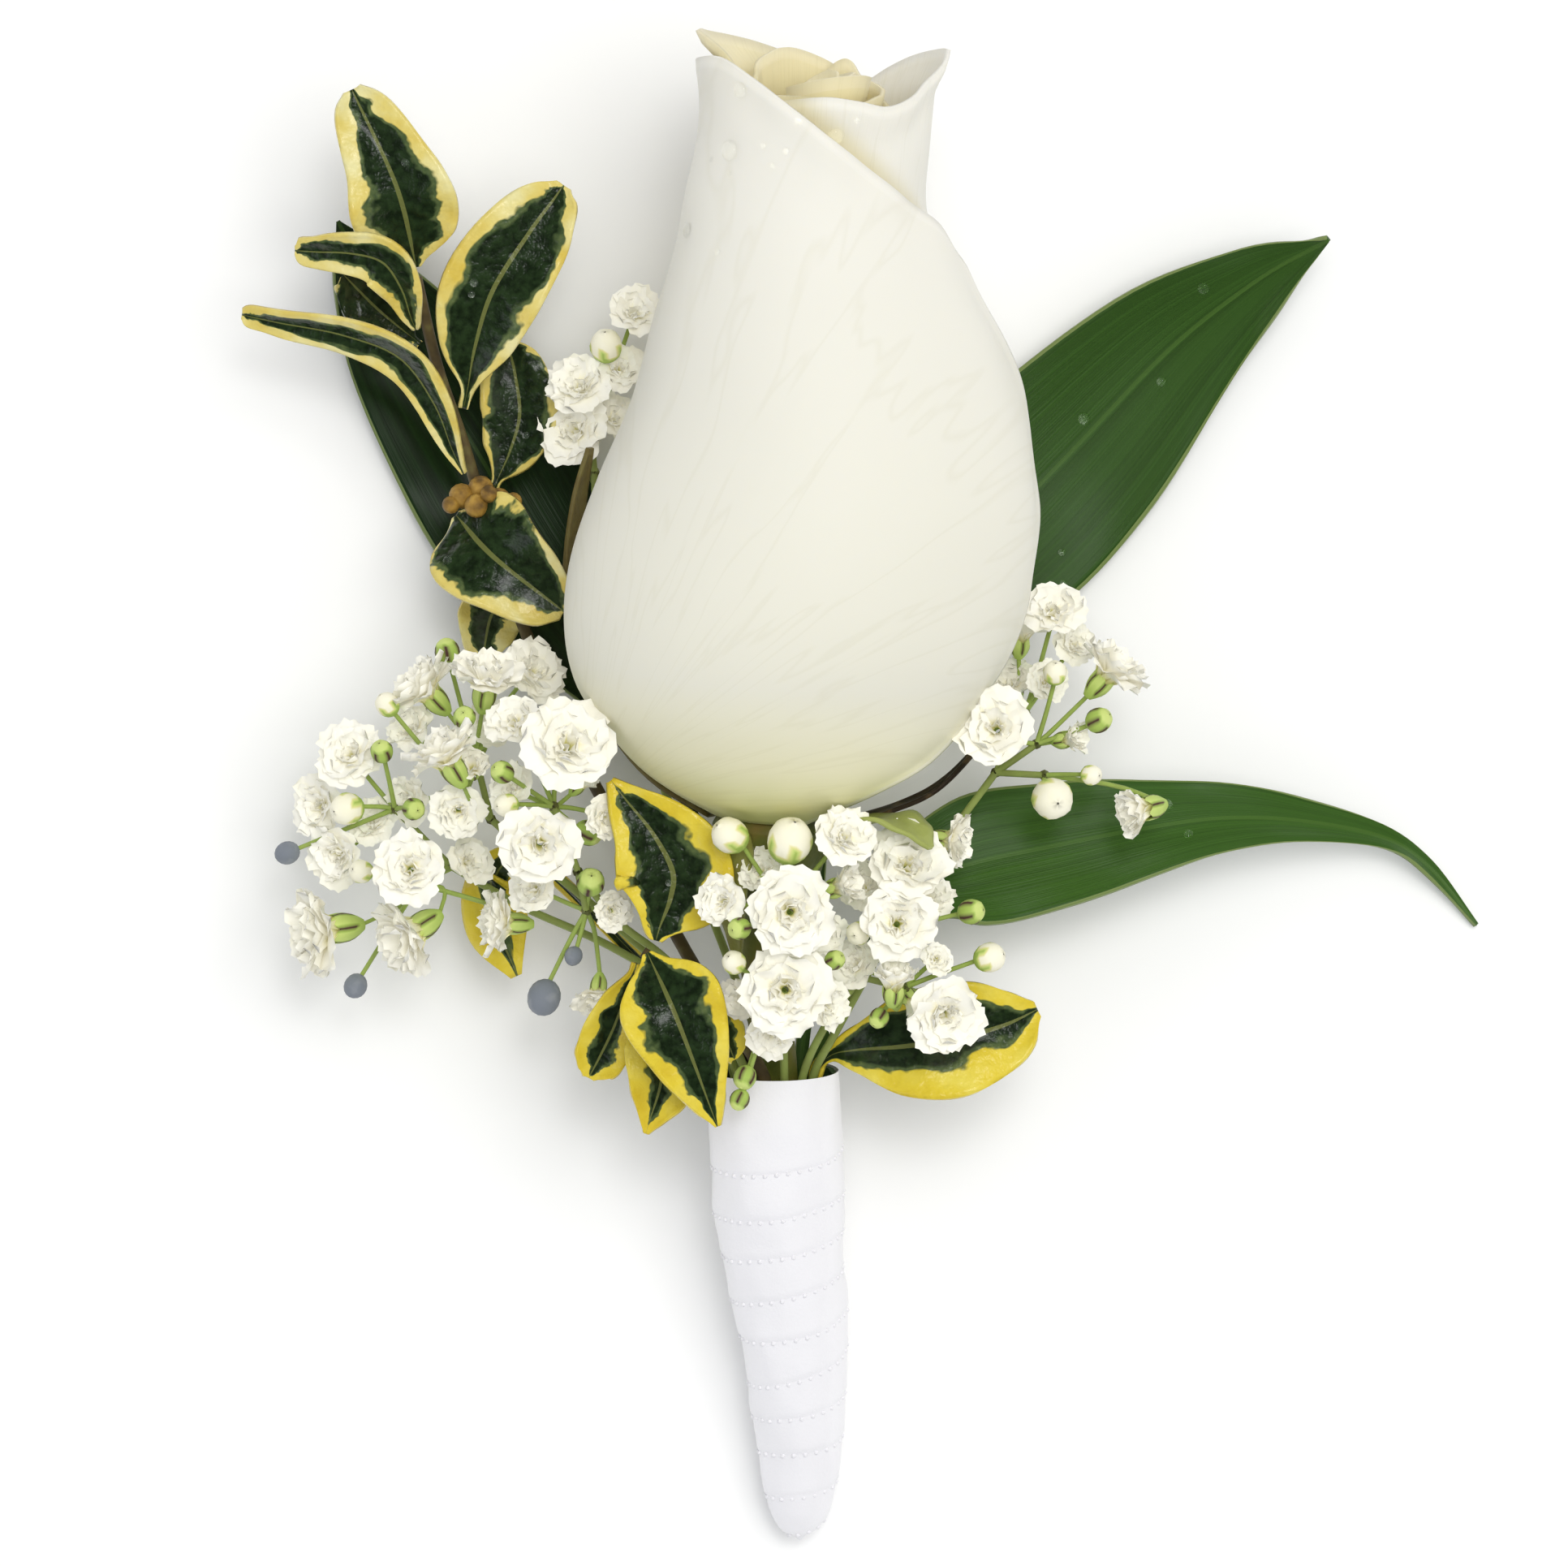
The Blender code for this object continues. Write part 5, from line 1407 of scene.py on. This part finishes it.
# Picot: a row of tiny woven loops along the ribbon's lower edge, set out by Geometry Nodes.
picot_group, given = new_group("picot_edge", Step="Float", Radius="Float", Finish="Material")
line = add(picot_group, "GeometryNodeMeshToCurve", {"Mesh": given["Geometry"]}).outputs[0]
sockets = {"Curve": line, "Length": given["Step"]}
spaced = add(picot_group, "GeometryNodeCurveToPoints", sockets, mode="LENGTH")
loop = add(picot_group, "GeometryNodeMeshIcoSphere", {"Radius": given["Radius"], "Subdivisions": 1})
sockets = {"Points": spaced.outputs["Points"], "Instance": loop.outputs["Mesh"]}
set_out = add(picot_group, "GeometryNodeInstanceOnPoints", sockets).outputs[0]
put_out(picot_group, set_out, given["Finish"])

edge = bpy.data.meshes.new("edge")
pairs = [(index, index + 1) for index in range(len(edge_line) - 1)]
edge.from_pydata([world(point) for point in edge_line], pairs, [])
values = {"Step": PICOT_STEP * MM, "Radius": PICOT_RADIUS * MM, "Finish": satin}
mesh = grown_mesh(edge, picot_group, values)
mesh.shade_smooth()
picot = new_piece("satin_ribbon_picot", mesh, satin)


# ---------------------------------------------------------------- Water drops
# The flowers were misted: clear drops of different sizes stand on the petals and the leaves. Each
# is a flattened dome of water, laid on the surface that lies under it.

# Where each drop lies seen from above, x and y, and its radius.
DROPS = (
    (-9.1, 51.9, 0.62), (-9.9, 47.5, 0.8), (-1.9, 48.5, 0.62), (-13.1, 41.8, 0.6),
    (-4.8, 49.4, 0.3), (-7.4, 47.7, 0.26), (-5.7, 47.3, 0.28), (-6.7, 46.2, 0.22),
    (-11.3, 47, 0.24), (-9.9, 45.8, 0.2), (-10.8, 39.9, 0.28), (-0.4, 49.6, 0.26), (27, 38.9, 0.5),
    (23.8, 31.7, 0.42), (17.7, 28.8, 0.5), (16, 18.3, 0.32), (13.8, 17.6, 0.3), (16.1, 15.9, 0.28),
    (24, -1.5, 0.45), (25.6, -3.8, 0.4), (-29.7, 38.7, 0.36), (-29.9, 37.8, 0.3),
    (-25.9, 27.2, 0.32), (-31.8, 17.4, 0.42), (-34.9, 47.8, 0.34), (-14.6, -7.4, 0.3),
    (7.9, -19.6, 0.34), (4.8, -20.3, 0.26),
)
DROP_HEIGHT = 0.55
HIGH_ABOVE = 60.0

water, tree, shader = new_material(
    "clear_water", Roughness=0.02, IOR=1.33, Transmission_Weight=1.0
)

# Painted shade: the faint grey tint stands in for the shadow the drop no longer casts on the
# surface under it, and darkens its rim.
shader.inputs["Base Color"].default_value = colour("#f3f4f3")
surfaces = bmesh.new()
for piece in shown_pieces():
    wetted = "petal" in piece.name or "leaf" in piece.name
    if piece.type == "MESH" and wetted and not piece.hide_render:
        surfaces.from_mesh(piece.data)
hit_tree = BVHTree.FromBMesh(surfaces)
drops = bmesh.new()
for x, y, radius in DROPS:
    start = world((x, y, HIGH_ABOVE))
    place, normal, _, _ = hit_tree.ray_cast(start, Vector((0.0, 0.0, -1.0)))
    if place is None:
        continue
    if normal.z < 0.0:
        normal = -normal
    made = bmesh.ops.create_icosphere(drops, subdivisions=3, radius=radius * MM)
    turn = normal.to_track_quat("Z", "Y").to_matrix().to_4x4()
    squash = Matrix.Diagonal((1.0, 1.0, DROP_HEIGHT, 1.0))
    laid = Matrix.Translation(place) @ turn @ squash
    bmesh.ops.transform(drops, matrix=laid, verts=made["verts"])
surfaces.free()
mesh = bpy.data.meshes.new("drops")
drops.to_mesh(mesh)
drops.free()
mesh.shade_smooth()
wet = new_piece("water_drops", mesh, water)
wet.visible_shadow = False


# ---------------------------------------------------------------- Table, light and camera
# The boutonniere lies on a plain near-white table under a broad soft light from above and a little
# from the right, as in a studio, and the camera looks straight down on it.

TABLE_HALF = 0.9
CAMERA_PLACE = (-0.00643, 0.00134, 0.6)
CAMERA_LENS = 174.9
CAMERA_SENSOR = 36.0

table_top = bpy.data.meshes.new("table")
corners = [(x * TABLE_HALF, y * TABLE_HALF, 0.0) for x, y in ((-1, -1), (1, -1), (1, 1), (-1, 1))]
table_top.from_pydata(corners, [], [(0, 1, 2, 3)])
table_paper, tree, shader = new_material("table_paper", Roughness=0.8, Specular_IOR_Level=0.2)
shader.inputs["Base Color"].default_value = colour("#f9f9f9")
table_top.materials.append(table_paper)
table = bpy.data.objects.new("table", table_top)
bpy.context.scene.collection.objects.link(table)


def soft_light(name, place, size, power, code, glossy=True):
    lamp = bpy.data.lights.new(name, "AREA")
    lamp.shape = "DISK"
    lamp.size = size
    lamp.energy = power
    lamp.color = colour(code)[:3]
    holder = bpy.data.objects.new(name, lamp)
    bpy.context.scene.collection.objects.link(holder)
    holder.location = place
    holder.rotation_mode = "QUATERNION"
    holder.rotation_quaternion = (-Vector(place)).to_track_quat("-Z", "Y")
    holder.visible_glossy = glossy


# The overhead light is too broad to show in the leaves' gloss, so the small one makes their shine.
soft_light("overhead", (0.22, 0.15, 0.95), 0.8, 5.3, "#fffdf8", glossy=False)
soft_light("side", (-0.7, -0.3, 0.5), 0.5, 0.5, "#f6f9ff")
soft_light("shine", (0.08, 0.22, 0.9), 0.2, 0.8, "#ffffff")

room = bpy.data.worlds.new("studio")
bpy.context.scene.world = room
room.use_nodes = True
sky = room.node_tree.nodes["Background"]
sky.inputs["Color"].default_value = colour("#f7f9fb")
sky.inputs["Strength"].default_value = 0.62
# A white room all round would veil the dark leaves with its reflection.
room.cycles_visibility.glossy = False

lens = bpy.data.cameras.new("camera")
lens.sensor_width = CAMERA_SENSOR
lens.lens = CAMERA_LENS
lens.clip_start = 0.01
lens.clip_end = 10.0
camera = bpy.data.objects.new("camera", lens)
bpy.context.scene.collection.objects.link(camera)
camera.location = CAMERA_PLACE
bpy.context.scene.camera = camera
bpy.context.scene.view_settings.view_transform = "Standard"
